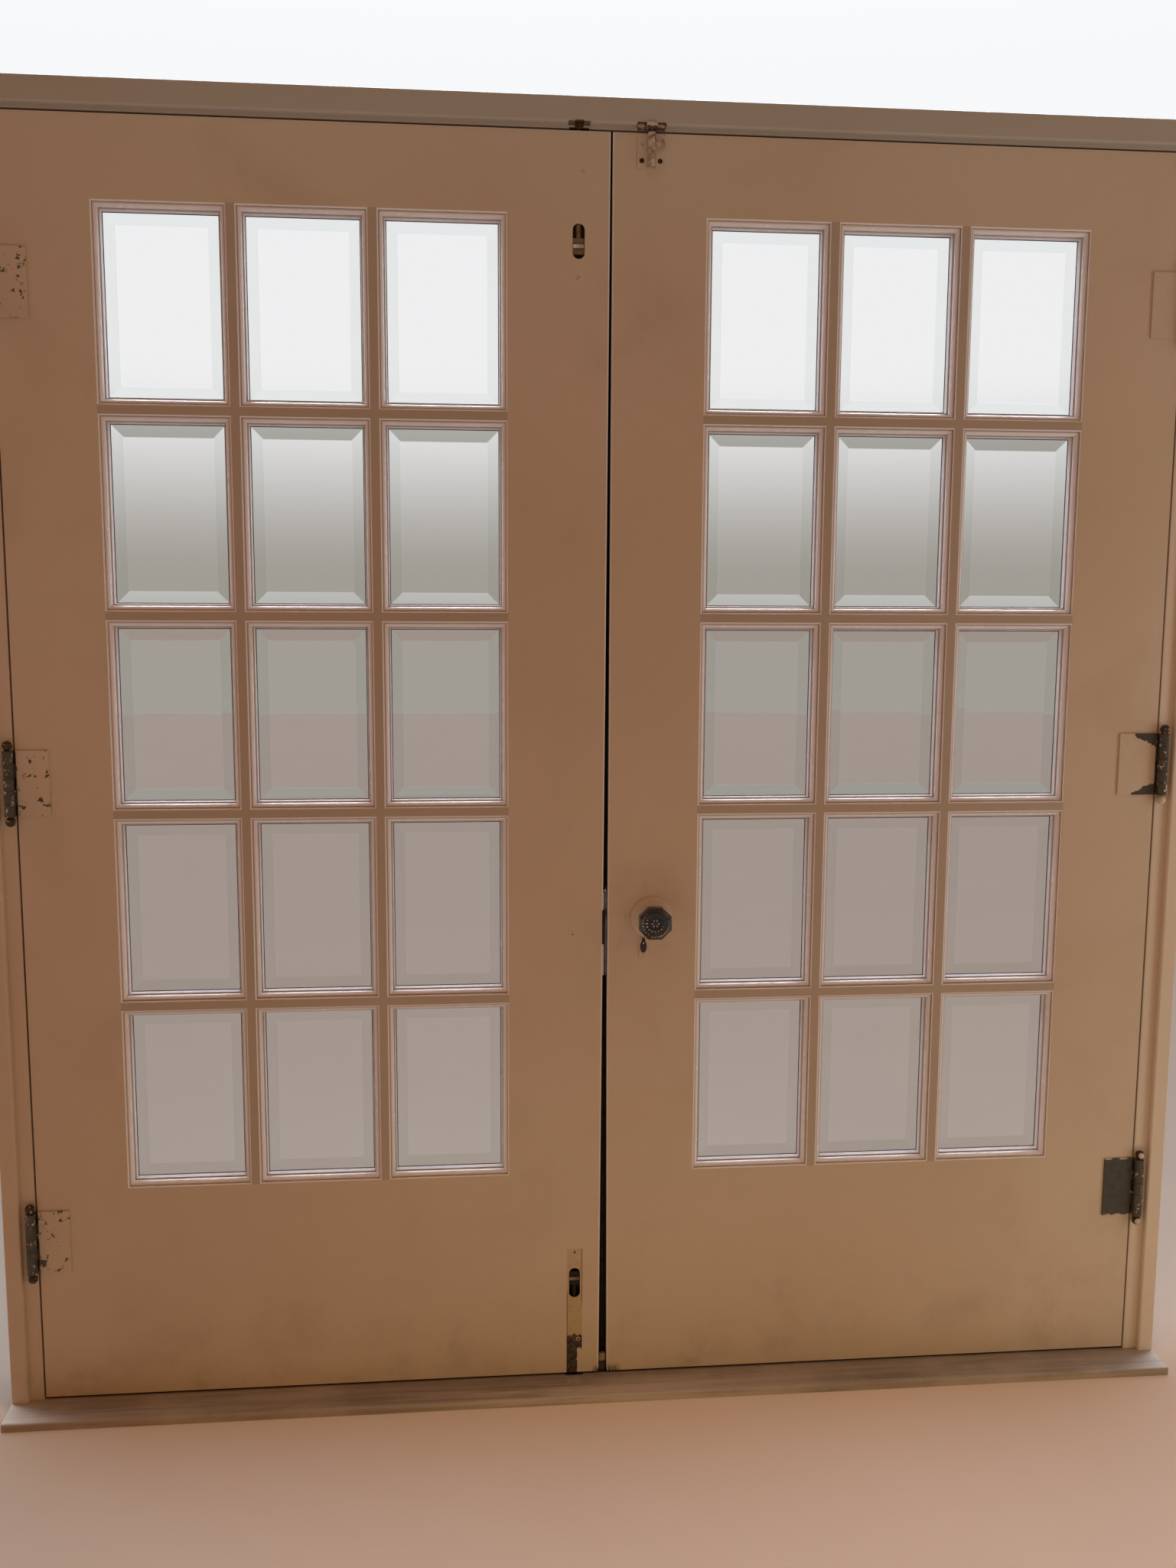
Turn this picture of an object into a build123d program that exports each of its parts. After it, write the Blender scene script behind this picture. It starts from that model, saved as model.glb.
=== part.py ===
from build123d import *
import math
import os

# A pair of inward-opening glazed french doors in their timber frame, in millimetres.
# X runs to the right seen from the room, Y from the room outwards and Z up.
# The origin is on the sill's underside, midway between the jambs, in the plane of the leaves' room faces.

# Leaves
leaf_height = 1998.0
leaf_width = 914.5
leaf_thickness = 45.0
top_rail = 120.0
bottom_rail = 352.0
left_hinge_stile = 143.0
left_meeting_stile = 157.0
right_hinge_stile = 155.0
right_meeting_stile = 145.0
columns = 3
rows = 5
bar_face = 12.5
meeting_edge_taper = 7.0
right_edge_taper = 3.5
right_taper_height = 600.0
left_arris_round = 3.0
right_arris_round = 1.5

# Moulding round each pane, measured from the flat face towards the glass
moulding_width = 13.0
moulding_depth = 22.0
moulding_chamfer = 2.5
moulding_chamfer_drop = 1.5
ovolo_start_drop = 3.5
ovolo_width = 7.0
ovolo_depth = 8.0
ovolo_foot_drop = 1.5
moulding_fillet = 2.0
rebate_wall = 4.0

# Panes and the putty that holds them from outside
glass_thickness = 6.0
glass_edge = 2.5
glass_bevel = 26.0
glass_side_gap = 1.5
putty_set_back = 1.0
putty_lip = 0.5

# Tenons of the rails
tenon_length = 60.0
tenon_thickness = 13.0
tenon_setting = 16.0
tenon_shoulder = 20.0

# Gaps round the leaves
hinge_gap = 3.0
meeting_gap = 3.0
head_gap = 3.0
sill_gap = 4.0
stop_gap = 2.0

# Frame
jamb_thickness = 38.0
frame_depth = 118.0
stop_thickness = 13.0
jamb_reveal = 23.0
head_reveal = 6.0
casing_width = 26.0
head_casing_width = 38.0
casing_thickness = 10.0
casing_round = 4.0
sill_thickness = 14.0
sill_inside = 67.0
sill_outside = 32.0
sill_nose_round = 4.0
sill_fall = 6.0
drip_width = 5.0
drip_depth = 3.0
drip_set_back = 10.0

# Frame fixings, one hole low and one high in each jamb
fixing_radius = 3.0
fixing_from_foot = 330.0
fixing_from_head = 268.0
fixing_depth_line = 24.0

# Hinges
hinge_height = 102.0
hinge_plate = 50.0
wide_hinge_plate = 64.0
hinge_metal = 2.5
jamb_plate_depth = 38.0
pivot_out = 6.0
pivot_proud = 9.0
knuckle_radius = 8.0
knuckle_gap = 0.4
pin_radius = 3.5
pin_clearance = 0.06
tip_radius = 7.5
tip_neck = 4.0
tip_height = 15.5
knuckles = 5
left_hinge_from_foot = 268.0
left_hinge_from_head = 241.0
left_middle_hinge_up = 13.0
right_hinge_from_foot = 296.0
right_hinge_from_head = 232.0
right_middle_hinge_up = 32.0
right_hinge_plates = (hinge_plate, wide_hinge_plate, hinge_plate)
left_hinge_plates = (hinge_plate, hinge_plate, hinge_plate)

# Screws, drawn with their countersunk heads
screw_head = 4.2
screw_shank = 2.0
screw_length = 16.0
screw_head_depth = 2.2
hinge_screw_edge = 12.0
hinge_screw_side = 9.0

# Flush bolts in the left leaf's meeting stile
flush_from_edge = 48.5
flush_plate_width = 26.0
flush_plate_length = 220.0
flush_metal = 2.0
flush_slot_width = 18.5
flush_slot_length = 52.0
flush_slot_centre = 160.0
flush_case_depth = 14.0
flush_case_wall = 1.5
flush_case_length = 92.0
flush_rod_radius = 4.4
flush_rod_line = 7.4
flush_travel = 14.0
flush_tip_back = 1.0
flush_thumb_length = 24.0
flush_ridge = 5.0
strike_hole_clearance = 1.0
strike_metal = 1.5
strike_plate_width = 30.0
strike_plate_depth = 22.0
head_strike_tab = 13.0
head_strike_tab_height = 9.5

# Barrel bolt at the right leaf's top
barrel_from_edge = 58.0
barrel_plate_width = 42.0
barrel_plate_length = 50.0
barrel_plate_metal = 2.0
barrel_top_gap = 2.0
barrel_radius = 6.0
barrel_bolt_radius = 4.0
barrel_travel = 11.0
barrel_handle_length = 14.0
barrel_handle_width = 7.0
barrel_handle_level = 16.0
barrel_screw_side = 7.0
barrel_screw_up = 11.5
keeper_width = 42.0
keeper_height = 9.0
keeper_lift = 0.5
keeper_proud = 14.0
notch_clearance = 0.3

# Lock, knobs and keyhole of the right leaf
lock_height = 785.0
key_drop = 52.5
knob_backset = 72.0
key_backset = 59.0
lock_line = 22.5
lock_case_height = 116.0
lock_case_depth = 88.0
lock_case_thickness = 16.0
lock_case_wall = 1.5
lock_case_above = 30.0
faceplate_width = 20.0
faceplate_height = 142.0
faceplate_metal = 3.0
latch_width = 11.0
latch_height = 16.0
latch_length = 32.0
latch_nose = 6.0
latch_travel = 12.0
dead_bolt_width = 9.0
dead_bolt_height = 26.0
dead_bolt_length = 34.0
bolt_clearance = 0.35
hub_radius = 9.0
spindle_side = 8.0
rose_radius = 34.0
rose_thickness = 5.0
rose_rim = 1.6
shank_radius = 9.0
shank_length = 24.0
collar_radius = 13.0
knob_across = 52.0
knob_back_across = 30.0
knob_front_across = 38.0
knob_back_depth = 10.0
knob_side_depth = 12.0
knob_front_depth = 10.0
knob_seat = 3.0
keyhole_radius = 4.0
keyhole_slot = 4.4
keyhole_length = 13.0
escutcheon_width = 15.0
escutcheon_height = 36.0
escutcheon_up = 1.0
escutcheon_metal = 1.2
cover_width = 10.8
cover_length = 19.5
cover_neck = 2.0
cover_metal = 2.4
cover_pin_radius = 1.5
cover_eye_wall = 1.5
cover_pin_up = 15.5
cover_gap = 0.3

# Strike on the left leaf's meeting edge
edge_strike_height = 138.0
edge_strike_width = 26.0
edge_strike_metal = 2.0
lip_height = 56.0
lip_reach = 5.5
lip_start = 6.0
strike_pocket = 8.0

# Draught strip on the left leaf's meeting edge, in two lengths either side of the strike
strip_line = 20.0
strip_depth = 4.0
strip_clearance = 1.8
strip_end_gap = 1.0
strip_set_back = 2.0

# Sizes that follow from the ones above
rebate_x = leaf_width + hinge_gap + meeting_gap / 2
rebate_y = leaf_thickness + stop_gap
leaf_z = sill_thickness + sill_gap
head_z = leaf_z + leaf_height + head_gap
frame_half = rebate_x + jamb_thickness
casing_inner_x = rebate_x + jamb_reveal
casing_outer_x = casing_inner_x + casing_width
casing_inner_z = head_z + head_reveal
casing_outer_z = casing_inner_z + head_casing_width
pane_row = (leaf_height - top_rail - bottom_rail + bar_face) / rows
lite_height = pane_row - bar_face
pivot_x = -(hinge_gap + pivot_out)
pivot_y = -pivot_proud
pin_bore = pin_radius + pin_clearance
knuckle_pitch = hinge_height / knuckles

LEFT = -1
RIGHT = 1


def box(x, y, z):
    """A block from its lowest and highest place along each axis."""
    size = (x[1] - x[0], y[1] - y[0], z[1] - z[0])
    centre = ((x[0] + x[1]) / 2, (y[0] + y[1]) / 2, (z[0] + z[1]) / 2)
    return Pos(*centre) * Box(*size)


def rod(radius, start, end, axis):
    """A round bar along one axis from start to end, centred on that axis."""
    turned = {"x": Rot(0, 90, 0), "y": Rot(-90, 0, 0), "z": Rot(0, 0, 0)}[axis]
    bar = turned * Cylinder(radius, end - start, align=(Align.CENTER, Align.CENTER, Align.MIN))
    return {"x": Pos(start, 0, 0), "y": Pos(0, start, 0), "z": Pos(0, 0, start)}[axis] * bar


def group(shapes):
    """Several separate solids as one node."""
    return Compound(children=[solid for shape in shapes for solid in shape.solids()])


def place(shape, side):
    """Moves a piece drawn from its leaf's hinge edge and foot to its place in the pair."""
    edge = rebate_x - hinge_gap
    if side == LEFT:
        return Pos(-edge, 0, leaf_z) * shape
    return Pos(edge, 0, leaf_z) * mirror(shape, about=Plane.YZ)


def stile_widths(side):
    """Flat widths of one leaf's hinge stile and meeting stile."""
    if side == LEFT:
        return left_hinge_stile, left_meeting_stile
    return right_hinge_stile, right_meeting_stile


def pane_columns(side):
    """Flat-to-flat width of a pane opening and the left side of each column."""
    hinge_stile, meeting_stile = stile_widths(side)
    free = leaf_width - hinge_stile - meeting_stile
    width = (free - (columns - 1) * bar_face) / columns
    return width, [hinge_stile + i * (width + bar_face) for i in range(columns)]


def pane_rows():
    """Lower side of each row of panes, from the top row down."""
    top = leaf_height - top_rail
    return [top - lite_height - i * pane_row for i in range(rows)]


def moulding(edge, way):
    """The moulding's outline from the flat face at edge down to the glass seat."""
    def at(across, drop):
        return (edge + way * across, drop)

    ovolo_end = moulding_chamfer + ovolo_width
    foot = ovolo_start_drop + ovolo_depth
    fillet_drop = foot + ovolo_foot_drop
    middle = math.sqrt(0.5)
    bend = at(moulding_chamfer + ovolo_width * middle, foot - ovolo_depth * middle)
    return [
        Line(at(0, 0), at(moulding_chamfer, moulding_chamfer_drop)),
        Line(at(moulding_chamfer, moulding_chamfer_drop), at(moulding_chamfer, ovolo_start_drop)),
        ThreePointArc(at(moulding_chamfer, ovolo_start_drop), bend, at(ovolo_end, foot)),
        Line(at(ovolo_end, foot), at(ovolo_end, fillet_drop)),
        Line(at(ovolo_end, fillet_drop), at(ovolo_end + moulding_fillet, fillet_drop)),
        Line(at(ovolo_end + moulding_fillet, fillet_drop), at(moulding_width, moulding_depth)),
        Line(at(moulding_width, moulding_depth), at(rebate_wall, moulding_depth)),
        Line(at(rebate_wall, moulding_depth), at(rebate_wall, leaf_thickness)),
    ]


def section(low, high, low_moulded, high_moulded):
    """A board's section: flat face from low to high, moulded and rebated past either side."""
    lines = [Line((low, 0), (high, 0))]
    back_low, back_high = low, high
    if high_moulded:
        lines += moulding(high, 1)
        back_high = high + rebate_wall
    else:
        lines.append(Line((high, 0), (high, leaf_thickness)))
    if low_moulded:
        lines += moulding(low, -1)
        back_low = low - rebate_wall
    else:
        lines.append(Line((low, 0), (low, leaf_thickness)))
    lines.append(Line((back_low, leaf_thickness), (back_high, leaf_thickness)))
    return make_face(lines)


def upright(low, high, low_moulded, high_moulded, foot, head):
    """A standing board of the leaf between two heights."""
    return Pos(0, 0, foot) * extrude(section(low, high, low_moulded, high_moulded), head - foot)


def crosswise(low, high, low_moulded, high_moulded, start, end):
    """A lying board of the leaf between two distances from the hinge edge."""
    flat = Plane(origin=(end, 0, 0), x_dir=(0, 0, 1), z_dir=(-1, 0, 0))
    return extrude(flat * section(low, high, low_moulded, high_moulded), end - start)


def rail_tenon(shoulder, way, low, high):
    """A rail's tenon, past the stile's moulding and into the stile."""
    ends = sorted((shoulder + way * (moulding_width + 1), shoulder - way * tenon_length))
    return box(ends, (tenon_setting, tenon_setting + tenon_thickness), (low, high))


def leaf_timber(side):
    """Stiles, rails and glazing bars of one leaf, before their fittings are cut in."""
    hinge_stile, meeting_stile = stile_widths(side)
    meeting_face = leaf_width - meeting_stile
    width, lefts = pane_columns(side)
    lows = pane_rows()
    hinge_board = upright(0, hinge_stile, False, True, 0, leaf_height)
    meeting_board = upright(meeting_face, leaf_width, True, False, 0, leaf_height)
    rails = {
        "top_rail": (leaf_height - top_rail, leaf_height, True, False),
        "bottom_rail": (0, bottom_rail, False, True),
    }
    made = {}
    for name, (low, high, low_moulded, high_moulded) in rails.items():
        board = crosswise(low, high, low_moulded, high_moulded, hinge_stile, meeting_face)
        board = board - hinge_board - meeting_board
        for shoulder, way in ((hinge_stile, 1), (meeting_face, -1)):
            tenon = rail_tenon(shoulder, way, low + tenon_shoulder, high - tenon_shoulder)
            board = board + tenon
        made[name] = board
    for name in rails:
        hinge_board = hinge_board - made[name]
        meeting_board = meeting_board - made[name]
    made["hinge_stile"] = hinge_board
    made["meeting_stile"] = meeting_board
    uprights = []
    for i in range(columns - 1):
        low = lefts[i] + width
        bar = upright(low, low + bar_face, True, True, bottom_rail, leaf_height - top_rail)
        uprights.append(bar - made["top_rail"] - made["bottom_rail"])
    made["upright_bars"] = group(uprights)
    crosses = []
    for i in range(rows - 1):
        low = lows[i] - bar_face
        for left in lefts:
            bar = crosswise(low, low + bar_face, True, True, left, left + width)
            for board in (hinge_board, meeting_board, *uprights):
                bar = bar - board
            crosses.append(bar)
    made["cross_bars"] = group(crosses)
    return made


def pane(width, height):
    """A bevelled pane centred on its opening: flat to the room, bevelled outside."""
    wide = width - 2 * (rebate_wall + glass_side_gap)
    tall = height - 2 * (rebate_wall + glass_side_gap)
    back = moulding_depth + glass_edge
    face = moulding_depth + glass_thickness
    upright_plane = Plane(origin=(0, 0, 0), x_dir=(1, 0, 0), z_dir=(0, 1, 0))
    edge = extrude(upright_plane.offset(moulding_depth) * Rectangle(wide, tall), glass_edge)
    outer = upright_plane.offset(back) * Rectangle(wide, tall)
    inner = upright_plane.offset(face) * Rectangle(wide - 2 * glass_bevel, tall - 2 * glass_bevel)
    return edge + loft([outer, inner])


def putty(width, height, glass):
    """The sloped ring of putty that holds a pane against its moulding from outside."""
    wide = width - 2 * rebate_wall
    tall = height - 2 * rebate_wall
    start = moulding_depth + glass_edge
    end = leaf_thickness - putty_set_back
    upright_plane = Plane(origin=(0, 0, 0), x_dir=(1, 0, 0), z_dir=(0, 1, 0))
    ring = extrude(upright_plane.offset(start) * Rectangle(wide, tall), end - start)
    sight_wide = width - 2 * moulding_width
    sight_tall = height - 2 * moulding_width
    near = upright_plane.offset(start) * Rectangle(sight_wide, sight_tall)
    far = upright_plane.offset(end) * Rectangle(wide - 2 * putty_lip, tall - 2 * putty_lip)
    return ring - loft([near, far]) - glass


def glazing(side):
    """One leaf's panes by row, and all its putty."""
    width, lefts = pane_columns(side)
    glass = pane(width, lite_height)
    ring = putty(width, lite_height, glass)
    places = [[Pos(left + width / 2, 0, low + lite_height / 2) for left in lefts] for low in pane_rows()]
    panes = [group([at * glass for at in row]) for row in places]
    return panes, group([at * ring for row in places for at in row])


def screw(depth_scale=1.0):
    """A countersunk screw pointing along +Y, its head's face at Y = 0."""
    shank = screw_length * depth_scale
    outline = Polyline(
        (0, 0), (screw_head, 0), (screw_shank, screw_head_depth), (screw_shank, shank), (0, shank), (0, 0)
    )
    return revolve(make_face(outline), Axis.Y)


def hinge_screw_places(plate):
    """Where the door plate's screws go, from the hinge edge and the plate's middle height."""
    outer = plate - hinge_screw_side
    high = hinge_height / 2 - hinge_screw_edge
    return [(outer, high), (outer, -high), (plate / 2, high / 2), (plate / 2, -high / 2)]


def jamb_screw_places():
    """Where the jamb plate's screws go, by depth into the frame and height."""
    high = hinge_height / 2 - hinge_screw_edge
    return [(jamb_plate_depth - hinge_screw_side, high), (jamb_plate_depth - hinge_screw_side, -high)]


def knuckle_spans(first):
    """The heights of every other knuckle, starting from the given one."""
    foot = -hinge_height / 2
    return [
        (foot + i * knuckle_pitch + knuckle_gap / 2, foot + (i + 1) * knuckle_pitch - knuckle_gap / 2)
        for i in range(first, knuckles, 2)
    ]


def barrel(span):
    """One knuckle with its pin bore."""
    return Pos(pivot_x, pivot_y, 0) * (
        rod(knuckle_radius, *span, "z") - rod(pin_bore, span[0] - 1, span[1] + 1, "z")
    )


def door_hinge_half(plate):
    """The half on the leaf's room face, drawn about its middle height."""
    half = box((0, plate), (-hinge_metal, 0), (-hinge_height / 2, hinge_height / 2))
    bore = Pos(pivot_x, pivot_y, 0) * rod(pin_bore, -hinge_height, hinge_height, "z")
    for span in knuckle_spans(1):
        half = half + barrel(span) + (box((pivot_x + pin_bore, 0), (-hinge_metal, 0), span) - bore)
    for x, z in hinge_screw_places(plate):
        half = half - Pos(x, -hinge_metal, z) * screw()
    return half


def jamb_hinge_half():
    """The half let into the jamb's rebate, with fingers out to its knuckles."""
    sheet = (-hinge_gap - hinge_metal, -hinge_gap)
    half = box(sheet, (stop_gap / 4, jamb_plate_depth), (-hinge_height / 2, hinge_height / 2))
    bore = Pos(pivot_x, pivot_y, 0) * rod(pin_bore, -hinge_height, hinge_height, "z")
    for span in knuckle_spans(0):
        half = half + barrel(span) + (box(sheet, (pivot_y, jamb_plate_depth), span) - bore)
    for y, z in jamb_screw_places():
        half = half - Pos(-hinge_gap, y, z) * Rot(0, 0, 90) * screw()
    return half


def hinge_pin():
    """A hinge's pin with its two turned tips."""
    top = hinge_height / 2
    crown = top + tip_height
    centre = crown - tip_radius
    foot = centre - math.sqrt(tip_radius ** 2 - tip_neck ** 2)
    lines = [
        Line((0, top), (pin_radius + 2, top)),
        Line((pin_radius + 2, top), (tip_neck, foot)),
        ThreePointArc((tip_neck, foot), (tip_radius, centre), (0, crown)),
        Line((0, crown), (0, top)),
    ]
    flat = Plane.XZ * make_face(lines)
    tip = revolve(flat, Axis.Z)
    pin = rod(pin_radius, -top, top, "z")
    return Pos(pivot_x, pivot_y, 0) * (pin + tip + mirror(tip, about=Plane.XY))


def hinge_set(side):
    """Middle heights and plate widths of the three hinges of one leaf, from the lowest."""
    middle = leaf_height / 2
    if side == LEFT:
        heights = (left_hinge_from_foot, middle + left_middle_hinge_up, leaf_height - left_hinge_from_head)
        return list(zip(heights, left_hinge_plates))
    heights = (right_hinge_from_foot, middle + right_middle_hinge_up, leaf_height - right_hinge_from_head)
    return list(zip(heights, right_hinge_plates))


def leaf_hinge_pieces(side):
    """Door halves and their screws for one leaf."""
    halves = []
    screws = []
    for height, plate in hinge_set(side):
        halves.append(Pos(0, 0, height) * door_hinge_half(plate))
        screws += [Pos(x, -hinge_metal, height + z) * screw() for x, z in hinge_screw_places(plate)]
    return halves, screws


def jamb_hinge_pieces(side):
    """Jamb halves, pins and screws of one side's hinges, placed in the frame."""
    halves, pins, screws = [], [], []
    for height, _ in hinge_set(side):
        at = Pos(0, 0, height)
        halves.append(place(at * jamb_hinge_half(), side))
        pins.append(place(at * hinge_pin(), side))
        for y, z in jamb_screw_places():
            turned = Pos(-hinge_gap, y, z) * Rot(0, 0, 90) * screw()
            screws.append(place(at * turned, side))
    return halves, pins, screws


# Flush bolts: one in the head and one in the foot of the left leaf's meeting stile.
# They are drawn at the foot, about their own centre line, and turned over for the head.

def flush_slot(extra):
    """The thumb slot's outline as a block from the room face inwards."""
    shape = SlotOverall(flush_slot_length + 2 * extra, flush_slot_width + 2 * extra, rotation=90)
    flat = Plane(origin=(0, -1, flush_slot_centre), x_dir=(1, 0, 0), z_dir=(0, -1, 0))
    return extrude(flat * shape, -(flush_metal + 3))


def flush_case_span():
    """Heights of the case behind the flush bolt's plate."""
    return (flush_slot_centre - flush_case_length / 2, flush_slot_centre + flush_case_length / 2)


def flush_body():
    """The flush bolt's plate with its thumb slot and the case behind it."""
    half = flush_plate_width / 2
    low, high = flush_case_span()
    case_half = flush_slot_width / 2 + 2 * flush_case_wall
    plate = box((-half, half), (0, flush_metal), (0, flush_plate_length))
    case = box((-case_half, case_half), (flush_metal, flush_case_depth), (low, high))
    inside = box(
        (-case_half + flush_case_wall, case_half - flush_case_wall),
        (flush_metal, flush_case_depth - flush_case_wall),
        (low + flush_case_wall, high - flush_case_wall),
    )
    hole = Pos(0, flush_rod_line, 0) * rod(flush_rod_radius + bolt_clearance, -1, flush_slot_centre, "z")
    body = plate + (case - inside - hole)
    for x, z in flush_screw_places():
        body = body - Pos(x, 0, z) * screw()
    return body - flush_slot(0)


def flush_screw_places():
    """The two screws of a flush bolt's plate."""
    return [(0, flush_plate_length - 6), (flush_plate_width / 4, flush_plate_length * 0.27)]


def flush_slide():
    """The thumb piece and the rod of a flush bolt, drawn back."""
    half = flush_slot_width / 2 + flush_case_wall - bolt_clearance
    start = flush_slot_centre - flush_thumb_length / 2 + flush_travel / 2
    end = start + flush_thumb_length
    pad = box((-half, half), (flush_metal + bolt_clearance, flush_rod_line), (start, end))
    ridge_half = flush_slot_width / 2 - 1
    ridge_mid = (start + end) / 2
    ridge = box(
        (-ridge_half, ridge_half), (0.5, flush_metal + 1), (ridge_mid - flush_ridge / 2, ridge_mid + flush_ridge / 2)
    )
    bar = Pos(0, flush_rod_line, 0) * rod(flush_rod_radius, flush_tip_back, end, "z")
    return pad + ridge + bar


def flush_pocket():
    """What the stile loses for one flush bolt."""
    half = flush_plate_width / 2
    low, high = flush_case_span()
    case_half = flush_slot_width / 2 + 2 * flush_case_wall
    plate = box((-half, half), (-1, flush_metal), (-1, flush_plate_length))
    case = box((-case_half, case_half), (0, flush_case_depth), (low, high))
    hole = Pos(0, flush_rod_line, 0) * rod(flush_rod_radius + bolt_clearance, -1, flush_slot_centre, "z")
    return plate + case + hole


def flush_at(shape, at_head):
    """Puts a flush bolt piece in the left leaf, at its foot or turned over at its head."""
    x = leaf_width - flush_from_edge
    if at_head:
        shape = Pos(0, 0, leaf_height) * mirror(shape, about=Plane.XY)
    return Pos(x, 0, 0) * shape


# Barrel bolt at the head of the right leaf, drawn about its barrel's centre line.

def barrel_line():
    """Depth of the barrel's centre line in front of the leaf's face."""
    return -(barrel_plate_metal + barrel_radius)


def barrel_plate():
    """The barrel bolt's plate with its slotted barrel."""
    top = leaf_height - barrel_top_gap
    low = top - barrel_plate_length
    half = barrel_plate_width / 2
    plate = box((-half, half), (-barrel_plate_metal, 0), (low, top))
    tube = Pos(0, barrel_line(), 0) * rod(barrel_radius, low, top, "z")
    web = box((-barrel_radius, barrel_radius), (barrel_line(), -barrel_plate_metal), (low, top))
    bore = Pos(0, barrel_line(), 0) * rod(barrel_bolt_radius + pin_clearance, low - 1, top + 1, "z")
    handle = top - barrel_handle_level
    slot = box(
        (-half, 0),
        (barrel_line() - barrel_handle_width / 2 - bolt_clearance, barrel_line() + barrel_handle_width / 2 + bolt_clearance),
        (handle - barrel_handle_width / 2 - bolt_clearance, handle + barrel_travel + barrel_handle_width / 2 + bolt_clearance),
    )
    body = plate + tube + web - bore - slot
    for x, z in barrel_screw_places():
        body = body - Pos(x, -barrel_plate_metal, z) * screw()
    return body


def barrel_screw_places():
    """The two screws low on the barrel bolt's plate."""
    side = barrel_plate_width / 2 - barrel_screw_side
    low = leaf_height - barrel_top_gap - barrel_plate_length + barrel_screw_up
    return [(side, low), (-side, low)]


def barrel_slide():
    """The sliding bolt with its handle, which points to the hinge side, drawn down."""
    top = leaf_height - barrel_top_gap
    low = top - barrel_plate_length
    bolt = Pos(0, barrel_line(), 0) * rod(barrel_bolt_radius, low, top, "z")
    handle = top - barrel_handle_level
    stem = Pos(0, barrel_line(), handle) * rod(barrel_handle_width / 2, -barrel_radius - barrel_handle_length, 0, "x")
    return bolt + stem


# Lock, knobs and keyhole furniture of the right leaf, from the hinge edge.

def meeting_x(backset):
    """Distance from the hinge edge of a thing set back from the meeting edge."""
    return leaf_width - backset


def lock_case_box(extra):
    """The lock case's outside, grown by extra on its sides."""
    front = leaf_width - faceplate_metal
    half = lock_case_thickness / 2 + extra
    top = lock_height + lock_case_above
    return box(
        (front - lock_case_depth - extra, front),
        (lock_line - half, lock_line + half),
        (top - lock_case_height - extra, top + extra),
    )


def across_leaf(radius, x, z, start, end):
    """A round bar through the leaf's thickness."""
    return Pos(x, 0, z) * rod(radius, start, end, "y")


def keyhole(start, end):
    """The keyhole's round eye and slot as a cutter through the leaf."""
    x = meeting_x(key_backset)
    z = lock_height - key_drop
    eye = across_leaf(keyhole_radius, x, z, start, end)
    slot = box((x - keyhole_slot / 2, x + keyhole_slot / 2), (start, end), (z - keyhole_length, z))
    return eye + slot


def latch_block(extra, reach):
    """The latch bolt's bar, grown by extra, its face at reach past the faceplate."""
    half = latch_width / 2 + extra
    tall = latch_height / 2 + extra
    end = leaf_width + reach
    return box(
        (end - latch_length, end), (lock_line - half, lock_line + half), (lock_height - tall, lock_height + tall)
    )


def dead_bolt_block(extra, reach):
    """The dead bolt's bar, grown by extra."""
    half = dead_bolt_width / 2 + extra
    tall = dead_bolt_height / 2 + extra
    z = lock_height - key_drop
    end = leaf_width + reach
    return box((end - dead_bolt_length, end), (lock_line - half, lock_line + half), (z - tall, z + tall))


def latch_bolt():
    """The latch bolt, its nose cut back on the outside face."""
    bolt = latch_block(0, 0)
    half = latch_width / 2
    nose = Polyline(
        (leaf_width, lock_line - half + 2), (leaf_width, lock_line + half + 1),
        (leaf_width - latch_nose, lock_line + half + 1), (leaf_width, lock_line - half + 2)
    )
    cut = Pos(0, 0, lock_height - latch_height) * extrude(make_face(nose), 2 * latch_height)
    return bolt - cut


def lock_case():
    """The thin case in the stile, open where the bolts, hub and key go."""
    outside = lock_case_box(0)
    inside = lock_case_box(-lock_case_wall)
    half = lock_case_thickness / 2
    case = outside - inside
    for block in (latch_block(bolt_clearance, 0), dead_bolt_block(bolt_clearance, 0)):
        case = case - block
    hub = across_leaf(hub_radius + pin_clearance, meeting_x(knob_backset), lock_height, 0, leaf_thickness)
    return case - hub - keyhole(lock_line - half - 1, lock_line + half + 1)


def faceplate():
    """The lock's plate in the meeting edge, with its two bolt openings and screws' holes."""
    middle = lock_height + lock_case_above - lock_case_height / 2
    half = faceplate_width / 2
    plate = box(
        (leaf_width - faceplate_metal, leaf_width),
        (lock_line - half, lock_line + half),
        (middle - faceplate_height / 2, middle + faceplate_height / 2),
    )
    return plate - latch_block(bolt_clearance, 0) - dead_bolt_block(bolt_clearance, 0)


def rose():
    """A round turned rose on the room face, drawn about the knob's axis."""
    inner = shank_radius + pin_clearance
    outline = Polyline(
        (inner, 0), (rose_radius, 0), (rose_radius, -rose_rim), (rose_radius - 4, -rose_rim - 1.2),
        (collar_radius + 3, -rose_thickness + 1), (collar_radius, -rose_thickness),
        (inner, -rose_thickness), (inner, 0)
    )
    return revolve(make_face(outline), Axis.Y)


def octagon(across, away):
    """An eight-sided outline facing the room, at a distance in front of the leaf."""
    flat = Plane(origin=(0, -away, 0), x_dir=(1, 0, 0), z_dir=(0, -1, 0))
    return flat * RegularPolygon(across / 2, 8, major_radius=False, rotation=22.5)


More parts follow.
